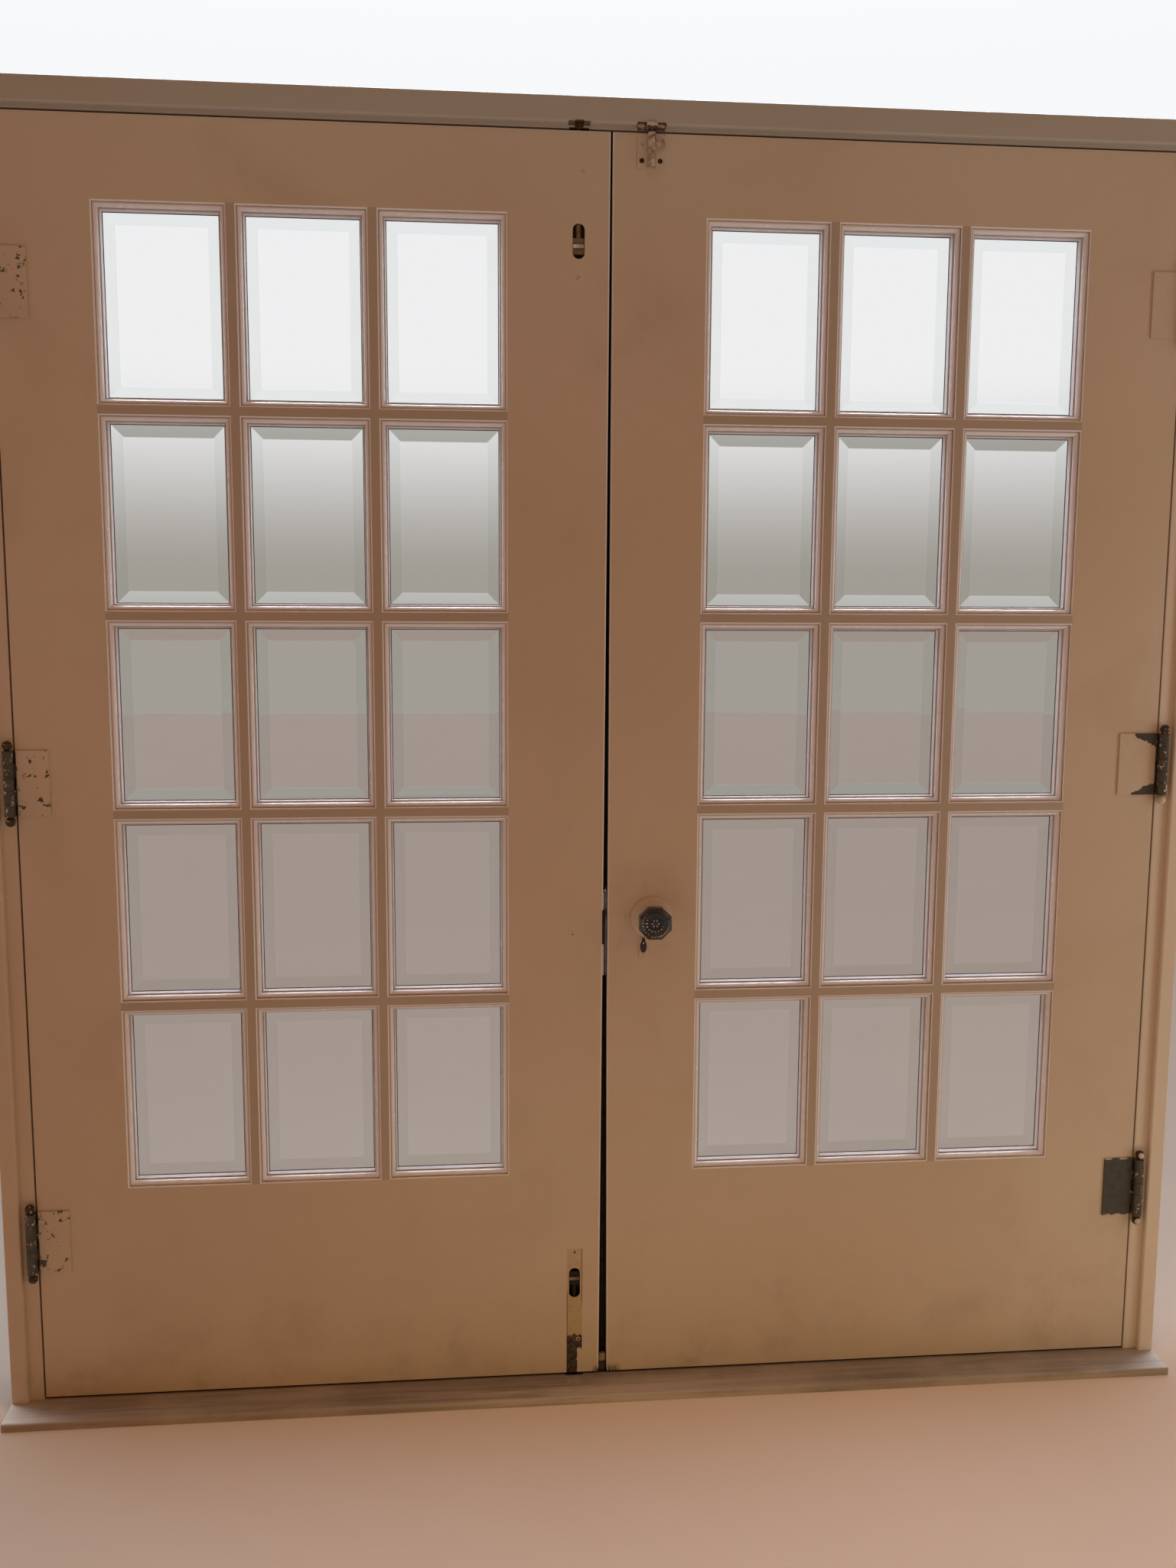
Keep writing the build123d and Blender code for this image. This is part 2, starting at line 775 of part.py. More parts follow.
def glass_knob():
    """The eight-sided glass knob, drawn about its axis in front of the room face."""
    back = rose_thickness + shank_length - knob_seat
    widest = back + knob_back_depth
    shoulder = widest + knob_side_depth
    front = shoulder + knob_front_depth
    knob = loft([octagon(knob_back_across, back), octagon(knob_across, widest)], ruled=True)
    knob = knob + loft([octagon(knob_across, widest), octagon(knob_across, shoulder)], ruled=True)
    knob = knob + loft([octagon(knob_across, shoulder), octagon(knob_front_across, front)], ruled=True)
    return knob - rod(shank_radius - 1, -(back + knob_back_depth), -back, "y")


def knob_shank():
    """The turned metal shank between the rose and the glass, with its seat in the glass."""
    back = rose_thickness + shank_length - knob_seat
    seat = shank_radius - 1
    outline = Polyline(
        (spindle_side * 0.8, 0), (shank_radius, 0), (shank_radius, -rose_thickness - 1),
        (collar_radius - 2, -rose_thickness - 3), (shank_radius, -rose_thickness - 7),
        (shank_radius, -back + 4), (collar_radius, -back + 2), (collar_radius, -back),
        (seat, -back), (seat, -(back + knob_back_depth)), (0, -(back + knob_back_depth)),
        (0, -back + 2), (spindle_side * 0.8, -back + 2), (spindle_side * 0.8, 0)
    )
    return revolve(make_face(outline), Axis.Y)


def spindle():
    """The square bar through the lock that carries both knobs."""
    reach = rose_thickness + shank_length - knob_seat - 2
    half = spindle_side / 2
    return box((-half, half), (-reach, leaf_thickness + reach), (-half, half))


def hub():
    """The lock's turning hub on the spindle."""
    half = lock_case_thickness / 2
    body = rod(hub_radius, lock_line - half, lock_line + half, "y")
    return body - spindle()


def outside_copy(shape):
    """The same piece on the leaf's outer face."""
    return Pos(0, leaf_thickness / 2, 0) * mirror(Pos(0, -leaf_thickness / 2, 0) * shape, about=Plane.XZ)


def at_knob(shape):
    """Puts a piece drawn about the knob's axis in the leaf."""
    return Pos(meeting_x(knob_backset), 0, lock_height) * shape


def escutcheon():
    """The small plate round the inside keyhole, with the drop cover's pin."""
    x = meeting_x(key_backset)
    z = lock_height - key_drop
    shape = SlotOverall(escutcheon_height, escutcheon_width, rotation=90)
    flat = Plane(origin=(x, 0, z + escutcheon_up), x_dir=(1, 0, 0), z_dir=(0, -1, 0))
    plate = extrude(flat * shape, escutcheon_metal) - keyhole(-10, 10)
    reach = escutcheon_metal + 2 * cover_gap + cover_metal
    pin = across_leaf(cover_pin_radius, x, z + cover_pin_up, -reach, -escutcheon_metal)
    head = across_leaf(cover_pin_radius + 1, x, z + cover_pin_up, -reach - 1, -reach)
    return plate + pin + head


def outer_escutcheon():
    """The plain plate round the outside keyhole."""
    x = meeting_x(key_backset)
    z = lock_height - key_drop
    shape = SlotOverall(escutcheon_height, escutcheon_width, rotation=90)
    flat = Plane(origin=(x, leaf_thickness, z + escutcheon_up), x_dir=(1, 0, 0), z_dir=(0, 1, 0))
    return extrude(flat * shape, escutcheon_metal) - keyhole(0, leaf_thickness + 10)


def keyhole_cover():
    """The oval drop that hangs over the keyhole from its pin."""
    x = meeting_x(key_backset)
    z = lock_height - key_drop + cover_pin_up
    flat = Plane(origin=(x, -escutcheon_metal - cover_gap, z), x_dir=(1, 0, 0), z_dir=(0, -1, 0))
    eye = cover_pin_radius + cover_eye_wall
    middle = -(cover_neck + cover_length / 2)
    outline = Circle(eye) + Pos(0, middle / 2) * Rectangle(2 * cover_neck, -middle)
    outline = outline + Pos(0, middle) * Ellipse(cover_width / 2, cover_length / 2)
    drop = extrude(flat * outline, cover_metal)
    return drop - across_leaf(cover_pin_radius + pin_clearance, x, z, -10, 0)


# Strike and draught strip on the left leaf's meeting edge

def edge_at(height):
    """The left leaf's planed meeting edge, from its hinge edge, at a height."""
    return leaf_width - meeting_edge_taper * (1 - height / leaf_height)


def strike_span():
    """Lowest and highest place of the edge strike."""
    middle = lock_height + lock_case_above - lock_case_height / 2
    return middle - edge_strike_height / 2, middle + edge_strike_height / 2


def edge_taper_cut():
    """The wedge planed off the left leaf's meeting edge."""
    over = 5.0
    outline = Polyline(
        (edge_at(-over), -over), (edge_at(leaf_height + over), leaf_height + over),
        (leaf_width + 40, leaf_height + over), (leaf_width + 40, -over), (edge_at(-over), -over)
    )
    flat = Plane(origin=(0, -over, 0), x_dir=(1, 0, 0), z_dir=(0, -1, 0))
    return extrude(flat * make_face(outline), -(leaf_thickness + 2 * over))


def right_edge_at(height):
    """The right leaf's meeting edge, from its hinge edge, planed back towards the foot."""
    return leaf_width - right_edge_taper * max(0, 1 - height / right_taper_height)


def right_taper_cut():
    """The wedge planed off the foot of the right leaf's meeting edge."""
    over = 5.0
    outline = Polyline(
        (right_edge_at(-over), -over), (leaf_width, right_taper_height), (leaf_width + 40, right_taper_height),
        (leaf_width + 40, -over), (right_edge_at(-over), -over)
    )
    flat = Plane(origin=(0, -over, 0), x_dir=(1, 0, 0), z_dir=(0, -1, 0))
    return extrude(flat * make_face(outline), -(leaf_thickness + 2 * over))


def worn_arris(stile, taper, radius):
    """Rounds the meeting stile's long arris on the room side."""
    arris = []
    for edge in stile.edges():
        ends = [edge.position_at(0), edge.position_at(1)]
        on_face = all(abs(end.Y) < 0.001 and end.X > leaf_width - taper - 1 for end in ends)
        if on_face and abs(ends[0].Z - ends[1].Z) > radius:
            arris.append(edge)
    return fillet(arris, radius)


def strike_packing():
    """The block glued to the planed edge that brings the strike out to the latch."""
    low, high = strike_span()
    depths = (lip_start, lip_start + edge_strike_width)
    return box((edge_at(low) - edge_strike_metal, leaf_width), depths, (low, high))


def strike_holes():
    """The two holes that take the latch and the dead bolt."""
    reach = meeting_edge_taper + latch_travel
    holes = []
    for half_tall, half_wide, z in (
        (latch_height / 2, latch_width / 2, lock_height),
        (dead_bolt_height / 2, dead_bolt_width / 2, lock_height - key_drop),
    ):
        wide = half_wide + strike_hole_clearance
        tall = half_tall + strike_hole_clearance
        holes.append(box((leaf_width - reach - strike_pocket / 2, leaf_width + 1),
                         (lock_line - wide, lock_line + wide), (z - tall, z + tall)))
    return holes[0] + holes[1]


def edge_strike():
    """The strike plate with the lip that leads the latch in."""
    low, high = strike_span()
    outer = leaf_width
    inner = outer - edge_strike_metal
    plate = box((inner, outer), (lip_start, lip_start + edge_strike_width), (low, high))
    lip_line = Polyline(
        (outer, lip_start), (outer - 1, lip_start / 2), (outer - lip_reach, 0.2),
        (outer - lip_reach, 0.2 + edge_strike_metal), (inner - 0.5, lip_start / 2 + 1.5), (inner, lip_start), (outer, lip_start)
    )
    lip_foot = lock_height + latch_height / 2 + 4 - lip_height
    lip = Pos(0, 0, lip_foot) * extrude(make_face(lip_line), lip_height)
    return plate + lip - strike_holes()


def strike_recess():
    """What the left meeting stile loses for the strike, its lip and the two bolts."""
    low, high = strike_span()
    inner = leaf_width - edge_strike_metal
    plate = box((inner, leaf_width + 1), (lip_start, lip_start + edge_strike_width), (low, high))
    lip_foot = lock_height + latch_height / 2 + 4 - lip_height
    lip = box((leaf_width - lip_reach - 0.5, leaf_width + 1), (-1, lip_start), (lip_foot - 0.5, lip_foot + lip_height + 0.5))
    return plate + lip + strike_holes()


def draught_strip():
    """Tapered strips that close the planed gap between the leaves, above and below the strike."""
    low, high = strike_span()
    spans = ((strip_set_back, low - strip_end_gap), (high + strip_end_gap, leaf_height - strip_set_back))
    strips = []
    for foot, head in spans:
        levels = [head]
        if foot < right_taper_height < head:
            levels.append(right_taper_height)
        levels.append(foot)
        outer = [(2 * leaf_width - right_edge_at(z) + meeting_gap - strip_clearance, z) for z in levels]
        outline = Polyline((edge_at(foot), foot), (edge_at(head), head), *outer, (edge_at(foot), foot))
        flat = Plane(origin=(0, strip_line, 0), x_dir=(1, 0, 0), z_dir=(0, -1, 0))
        strips.append(extrude(flat * make_face(outline), -strip_depth))
    return strips


# Frame pieces

def jamb(side):
    """One rebated jamb, standing on the sill, with its hinges let in and its fixing holes."""
    outer = frame_half
    outline = Polyline(
        (rebate_x, 0), (outer, 0), (outer, frame_depth), (rebate_x - stop_thickness, frame_depth),
        (rebate_x - stop_thickness, rebate_y), (rebate_x, rebate_y), (rebate_x, 0)
    )
    post = Pos(0, 0, sill_thickness) * extrude(make_face(outline), head_z - sill_thickness)
    if side == LEFT:
        post = mirror(post, about=Plane.YZ)
    for height, _ in hinge_set(side):
        recess = box(
            (-hinge_gap - hinge_metal, -hinge_gap + 1), (-1, jamb_plate_depth),
            (height - hinge_height / 2, height + hinge_height / 2),
        )
        post = post - place(recess, side)
        for y, z in jamb_screw_places():
            post = post - place(Pos(-hinge_gap, y, height + z) * Rot(0, 0, 90) * screw(), side)
    for z in (fixing_from_foot, leaf_height - fixing_from_head):
        hole = rod(fixing_radius, rebate_x - 20, frame_half + 1, "x")
        if side == LEFT:
            hole = mirror(hole, about=Plane.YZ)
        post = post - Pos(0, fixing_depth_line, z + leaf_z) * hole
    return post


def head_jamb():
    """The rebated head, over the jambs, bored for the top flush bolt."""
    top = head_z + jamb_thickness
    head = box((-frame_half, frame_half), (0, frame_depth), (head_z, top))
    inner = rebate_x - stop_thickness
    head = head + box((-inner, inner), (rebate_y, frame_depth), (head_z - stop_thickness, head_z))
    return head - head_strike_recess()


def flush_line_x():
    """The flush bolts' place across the pair."""
    return -rebate_x + hinge_gap + leaf_width - flush_from_edge


def head_bolt_hole(radius):
    """The top flush bolt's hole in the head."""
    depth = flush_travel - head_gap + strike_hole_clearance
    return Pos(flush_line_x(), flush_rod_line, 0) * rod(radius, head_z - 1, head_z + depth, "z")


def head_strike():
    """The strike under the head, turned up over its room face as a small tab."""
    x = flush_line_x()
    half = strike_plate_width / 2
    plate = box((x - half, x + half), (0, strike_plate_depth), (head_z, head_z + strike_metal))
    tab_half = head_strike_tab / 2
    tab = box((x - tab_half, x + tab_half), (-strike_metal / 2, strike_metal / 2), (head_z, head_z + head_strike_tab_height))
    return plate + tab - head_bolt_hole(flush_rod_radius + strike_hole_clearance)


def head_strike_recess():
    """What the head loses for its strike and the bolt."""
    x = flush_line_x()
    half = strike_plate_width / 2
    plate = box((x - half, x + half), (-1, strike_plate_depth), (head_z - 1, head_z + strike_metal))
    tab_half = head_strike_tab / 2
    tab = box((x - tab_half, x + tab_half), (-1, strike_metal / 2), (head_z, head_z + head_strike_tab_height))
    return plate + tab + head_bolt_hole(flush_rod_radius + strike_hole_clearance)


def sill():
    """The worn sill, with a rounded nose to the room and a fall and drip outside."""
    back = frame_depth + sill_outside
    front = -sill_inside
    top = sill_thickness
    r = sill_nose_round
    bend = r * (1 - math.sqrt(0.5))
    groove = back - drip_set_back
    lines = [
        Line((front, 0), (front, top - r)),
        ThreePointArc((front, top - r), (front + bend, top - bend), (front + r, top)),
        Line((front + r, top), (frame_depth, top)),
        Line((frame_depth, top), (back, top - sill_fall)),
        Line((back, top - sill_fall), (back, 0)),
        Line((back, 0), (groove, 0)),
        Line((groove, 0), (groove, drip_depth)),
        Line((groove, drip_depth), (groove - drip_width, drip_depth)),
        Line((groove - drip_width, drip_depth), (groove - drip_width, 0)),
        Line((groove - drip_width, 0), (front, 0)),
    ]
    flat = Plane(origin=(-casing_outer_x, 0, 0), x_dir=(0, 1, 0), z_dir=(1, 0, 0))
    board = extrude(flat * make_face(lines), 2 * casing_outer_x)
    return board - sill_strike_recess()


def sill_bolt_hole(radius):
    """The bottom flush bolt's hole in the sill."""
    depth = flush_travel - sill_gap + strike_hole_clearance - flush_tip_back
    return Pos(flush_line_x(), flush_rod_line, 0) * rod(radius, sill_thickness - depth, sill_thickness + 1, "z")


def sill_strike():
    """The plate round the bottom bolt's hole."""
    x = flush_line_x()
    half = strike_plate_width / 2
    plate = box((x - half, x + half), (-2, strike_plate_depth), (sill_thickness - strike_metal, sill_thickness))
    return plate - sill_bolt_hole(flush_rod_radius + strike_hole_clearance)


def sill_strike_recess():
    """What the sill loses for its strike plate and the bolt."""
    x = flush_line_x()
    half = strike_plate_width / 2
    plate = box((x - half, x + half), (-2, strike_plate_depth), (sill_thickness - strike_metal, sill_thickness + 1))
    return plate + sill_bolt_hole(flush_rod_radius + strike_hole_clearance)


def casing_section(width):
    """A casing's section: across its width from the inner side, and out from the wall."""
    r = casing_round
    outer_r = casing_round / 2
    out = -casing_thickness
    lines = [
        Line((0, 0), (0, out + r)),
        ThreePointArc((0, out + r), (r * (1 - math.sqrt(0.5)), out + r * (1 - math.sqrt(0.5))), (r, out)),
        Line((r, out), (width - outer_r, out)),
        ThreePointArc(
            (width - outer_r, out),
            (width - outer_r * (1 - math.sqrt(0.5)), out + outer_r * (1 - math.sqrt(0.5))),
            (width, out + outer_r),
        ),
        Line((width, out + outer_r), (width, 0)),
        Line((width, 0), (0, 0)),
    ]
    return make_face(lines)


def mitre_cut(head_side):
    """A wedge on one side of the mitre line at the top right corner."""
    x, z = casing_inner_x, casing_inner_z
    across, up = 2 * casing_width, 2 * head_casing_width
    corner = (x - across, z + up) if head_side else (x + across, z - up)
    outline = Polyline((x - across, z - up), (x + across, z + up), corner, (x - across, z - up))
    flat = Plane(origin=(0, -2 * casing_thickness, 0), x_dir=(1, 0, 0), z_dir=(0, -1, 0))
    return extrude(flat * make_face(outline), -4 * casing_thickness)


def side_casing(side):
    """One side casing, standing on the sill and mitred at its head."""
    section_face = casing_section(casing_width)
    strip = Pos(casing_inner_x, 0, sill_thickness) * extrude(section_face, casing_outer_z - sill_thickness)
    strip = strip - mitre_cut(True)
    return mirror(strip, about=Plane.YZ) if side == LEFT else strip


def head_casing():
    """The head casing, mitred at both ends and notched round the two keepers."""
    flat = Plane(origin=(casing_outer_x, 0, casing_inner_z), x_dir=(0, 0, 1), z_dir=(-1, 0, 0))
    strip = extrude(flat * casing_section(head_casing_width), 2 * casing_outer_x)
    wedge = mitre_cut(False)
    strip = strip - wedge - mirror(wedge, about=Plane.YZ)
    notches = (
        (flush_line_x(), head_strike_tab / 2, head_z + head_strike_tab_height),
        (keeper_line_x(), keeper_width / 2, head_z + keeper_lift + keeper_height),
    )
    for x, half, top in notches:
        wide = half + notch_clearance
        strip = strip - box((x - wide, x + wide), (-casing_thickness - 1, 1), (head_z, top + notch_clearance))
    return strip


def keeper_line_x():
    """The barrel bolt's place across the pair."""
    return rebate_x - hinge_gap - leaf_width + barrel_from_edge


def barrel_keeper():
    """The keeper on the head that the barrel bolt slides into."""
    x = keeper_line_x()
    half = keeper_width / 2
    low = head_z + keeper_lift
    high = low + keeper_height
    plate = box((x - half, x + half), (-barrel_plate_metal, 0), (low, high))
    block = box((x - barrel_radius - 2, x + barrel_radius + 2), (-keeper_proud, 0), (low, high))
    bore = Pos(x, barrel_line(), 0) * rod(barrel_bolt_radius + strike_hole_clearance, low - 1, high + 1, "z")
    return plate + block - bore


def write(name, shape):
    """Writes one node."""
    export_step(shape, "parts/" + name + ".step")


def build_frame():
    """The frame with its casings, strikes, jamb hinge halves and pins."""
    write("jamb_left", jamb(LEFT))
    write("jamb_right", jamb(RIGHT))
    write("head_jamb", head_jamb())
    write("sill", sill())
    write("casing_left", side_casing(LEFT))
    write("casing_right", side_casing(RIGHT))
    write("casing_head", head_casing())
    halves, pins, screws = [], [], []
    for side in (LEFT, RIGHT):
        more = jamb_hinge_pieces(side)
        halves += more[0]
        pins += more[1]
        screws += more[2]
    write("jamb_hinge_halves", group(halves))
    write("hinge_pins", group(pins))
    write("jamb_hinge_screws", group(screws))
    write("flush_bolt_strikes", group([head_strike(), sill_strike()]))
    write("barrel_bolt_keeper", barrel_keeper())


def build_leaf(side):
    """One leaf's timber, glass, putty and hinges, with its own fittings."""
    name = "left" if side == LEFT else "right"
    made = leaf_timber(side)
    halves, screws = leaf_hinge_pieces(side)
    for one in screws:
        made["hinge_stile"] = made["hinge_stile"] - one
    if side == LEFT:
        stile = worn_arris(made["meeting_stile"] - edge_taper_cut(), meeting_edge_taper, left_arris_round)
        stile = stile + strike_packing() - strike_recess()
        made["meeting_stile"] = stile - flush_at(flush_pocket(), False) - flush_at(flush_pocket(), True)
    else:
        stile = worn_arris(made["meeting_stile"] - right_taper_cut(), right_edge_taper, right_arris_round)
        stile = stile - lock_case_box(0)
        middle = lock_height + lock_case_above - lock_case_height / 2
        half = faceplate_width / 2
        stile = stile - box(
            (leaf_width - faceplate_metal, leaf_width + 1),
            (lock_line - half, lock_line + half),
            (middle - faceplate_height / 2, middle + faceplate_height / 2),
        )
        hub_x = meeting_x(knob_backset)
        stile = stile - across_leaf(hub_radius + 1, hub_x, lock_height, -1, leaf_thickness + 1)
        made["meeting_stile"] = stile - keyhole(-1, leaf_thickness + 1)
    for piece, shape in made.items():
        write(name + "_" + piece, place(shape, side))
    panes, rings = glazing(side)
    for number, row in enumerate(panes, 1):
        write(name + "_glass_row_" + str(number), place(row, side))
    write(name + "_putty", place(rings, side))
    write(name + "_door_hinge_halves", place(group(halves), side))
    write(name + "_door_hinge_screws", place(group(screws), side))


def build_left_fittings():
    """Flush bolts, edge strike and draught strip of the left leaf."""
    for name, at_head in (("top", True), ("bottom", False)):
        write(name + "_flush_bolt_plate", place(flush_at(flush_body(), at_head), LEFT))
        write(name + "_flush_bolt_slide", place(flush_at(flush_slide(), at_head), LEFT))
    write("edge_strike", place(edge_strike(), LEFT))
    write("draught_strip", place(group(draught_strip()), LEFT))


def build_right_fittings():
    """Lock, knobs, keyhole furniture and barrel bolt of the right leaf."""
    write("lock_case", place(lock_case(), RIGHT))
    write("lock_faceplate", place(faceplate(), RIGHT))
    write("latch_bolt", place(latch_bolt(), RIGHT))
    write("dead_bolt", place(dead_bolt_block(0, 0), RIGHT))
    write("lock_hub", place(at_knob(hub()), RIGHT))
    write("knob_spindle", place(at_knob(spindle()), RIGHT))
    write("knob_roses", place(group([at_knob(rose()), at_knob(outside_copy(rose()))]), RIGHT))
    write("knob_shanks", place(group([at_knob(knob_shank()), at_knob(outside_copy(knob_shank()))]), RIGHT))
    write("inside_glass_knob", place(at_knob(glass_knob()), RIGHT))
    write("outside_glass_knob", place(at_knob(outside_copy(glass_knob())), RIGHT))
    write("keyhole_plates", place(group([escutcheon(), outer_escutcheon()]), RIGHT))
    write("keyhole_cover", place(keyhole_cover(), RIGHT))
    x = Pos(meeting_x(barrel_from_edge), 0, 0)
    write("barrel_bolt_plate", place(x * barrel_plate(), RIGHT))
    write("barrel_bolt_slide", place(x * barrel_slide(), RIGHT))


os.makedirs("parts", exist_ok=True)
build_frame()
build_leaf(LEFT)
build_leaf(RIGHT)
build_left_fittings()
build_right_fittings()
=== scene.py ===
import math

import bmesh
import bpy
from mathutils import Matrix, Vector, noise


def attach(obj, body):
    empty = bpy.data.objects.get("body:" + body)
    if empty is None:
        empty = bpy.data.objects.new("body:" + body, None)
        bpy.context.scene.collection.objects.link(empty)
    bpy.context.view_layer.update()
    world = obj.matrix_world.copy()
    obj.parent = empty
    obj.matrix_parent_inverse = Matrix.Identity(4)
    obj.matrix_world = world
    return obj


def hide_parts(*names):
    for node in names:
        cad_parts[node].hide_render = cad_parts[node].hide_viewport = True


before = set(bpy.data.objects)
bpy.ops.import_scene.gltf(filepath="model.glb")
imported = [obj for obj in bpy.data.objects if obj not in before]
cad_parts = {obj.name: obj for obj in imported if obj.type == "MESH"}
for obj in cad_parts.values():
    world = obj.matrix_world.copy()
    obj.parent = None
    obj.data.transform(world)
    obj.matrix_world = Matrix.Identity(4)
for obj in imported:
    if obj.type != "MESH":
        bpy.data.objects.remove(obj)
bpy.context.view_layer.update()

# Camera, as solved from the photograph: place in metres, turns in radians
camera_place = (-0.2448, -2.2108, 1.3153)
camera_yaw = -0.09617
camera_pitch = -0.13109
camera_roll = 0.00515
camera_lens = 32.12
camera_sensor = 36.0

# Leaves, in metres
moulding_depth = 0.022
moulding_width = 0.013
leaf_foot = 0.018
hinge_edge = 0.916

# Meeting edges: places across, and leans across per metre of height. The right edge leans
# only under its bend, which is a height above the leaf's foot, and reaches this far by the foot.
left_edge_foot = -0.0085
left_edge_lean = 0.0035
right_edge_head = 0.0015
right_edge_reach = 0.0035
right_edge_bend = 0.6
right_edge_lean = 0.00583

# Gaps round the leaves, where shade is painted: their middles and half widths
gap_middle = -0.002
gap_middle_half = 0.011
gap_side = 0.9175
gap_side_half = 0.0028
gap_head = 2.0175
gap_foot = 0.0160
gap_half = 0.0032

# Fittings: across and up on the doors' face, and heights
knob_place = (0.0735, 0.803)
cover_pin = (0.0605, 0.766)
keyhole_height = 0.746
nail_hole = (-0.0555, 0.7765)
hinge_half_height = 0.051
right_hinges = (0.314, 1.049, 1.784)
left_hinges = (0.286, 1.03, 1.775)
barrel_x = 0.0595
flush_x = -0.05
flush_corner_x = -0.0435
head_slide_ridge = 1.849
foot_slide_ridge = 0.185

# Screws that the solids leave out: across, depth and up
head_bolt_screws = ((flush_x, 0.0, 1.802), (flush_corner_x, 0.0, 1.9566))
foot_bolt_upper_screw = (flush_x, 0.0001, 0.232)
foot_bolt_lower_screw = (flush_corner_x, 0.0001, 0.0774)
barrel_bolt_screws = ((0.0455, -0.0018, 1.9755), (0.0735, -0.0018, 1.9755))

# Paint and metal colours, linear, and colours of painted light and shade
cream = (0.58, 0.475, 0.365)
cream_light = (0.63, 0.535, 0.43)
cream_dull = (0.49, 0.385, 0.28)
# Painted highlight on the mouldings' faces
arris_light = (0.86, 0.87, 0.94)
# Dirt, and painted shade in the mouldings' quirks and beside the glass
grime_and_shade = (0.11, 0.085, 0.06)
# Painted shade: in the gaps round the leaves, under them on the sill, and along edges of the foot bolt's
# plate
gap_shade = (0.06, 0.046, 0.034)
sill_dark = (0.26, 0.22, 0.185)
sill_light = (0.42, 0.36, 0.31)
sill_blotch = (0.50, 0.43, 0.37)
sill_trodden = (0.60, 0.53, 0.46)
sill_scraped = (0.45, 0.38, 0.31)
iron = (0.085, 0.092, 0.083)
dark_iron = (0.02, 0.019, 0.017)
rust = (0.12, 0.055, 0.025)
hinge_stain = (0.085, 0.06, 0.035)
olive = (0.54, 0.435, 0.29)
tarnish = (0.05, 0.04, 0.03)
# Painted shade on the glazing bars
bar_shade = (0.36, 0.31, 0.27)
# Painted light and shade on the frame: the head greyer, the right jamb paler
head_shade_grey = (0.36, 0.39, 0.38)
jamb_lit_pale = (0.74, 0.66, 0.56)
edge_glint = (0.80, 0.80, 0.80)

# Shading: samples of the rounded look of edges, and the angle in degrees past which one is sharp
bevel_samples = 4
sharp_angle = 40.0

# Small pieces: points round each ring, sizes, and turns in radians
star_points = 16
drop_points = 48
drop_half_width = 0.0054
drop_half_height = 0.00975
drop_hang = 0.01175
drop_back = -0.0016
drop_front = -0.0038
eye_points = 32
eye_wire_points = 10
eye_radius = 0.0023
eye_depth = -0.0027
eye_wire = 0.0006
eye_wire_depth = 0.0010
lump_squareness = 0.65
screw_points = 24
screw_turn = 0.7
screw_turn_step = 1.9
screw_root = 0.0012
screw_dome = 0.0007
slot_half = 0.0006
slot_depth = 0.0005

# Lip behind the meeting gap: its lengths, as heights of their ends, and its section
lip_lengths = ((0.021, 0.700), (0.850, 2.012))
lip_steps = 24
lip_root = 0.0004
lip_reach = 0.0015
lip_round_x = 0.0003
lip_round_y = 0.0008

# Panes: the least width of one, and the widths between which the space between two lies
least_pane = 0.1
least_pane_gap = 0.022
most_pane_gap = 0.025

# Dark bead round each pane: painted shadow where moulding meets glass
glass_overlap = 0.0055
bead_overlap = 0.0004
bead_width = 0.0013
bead_height = 0.0009
bead_lift = 0.00005


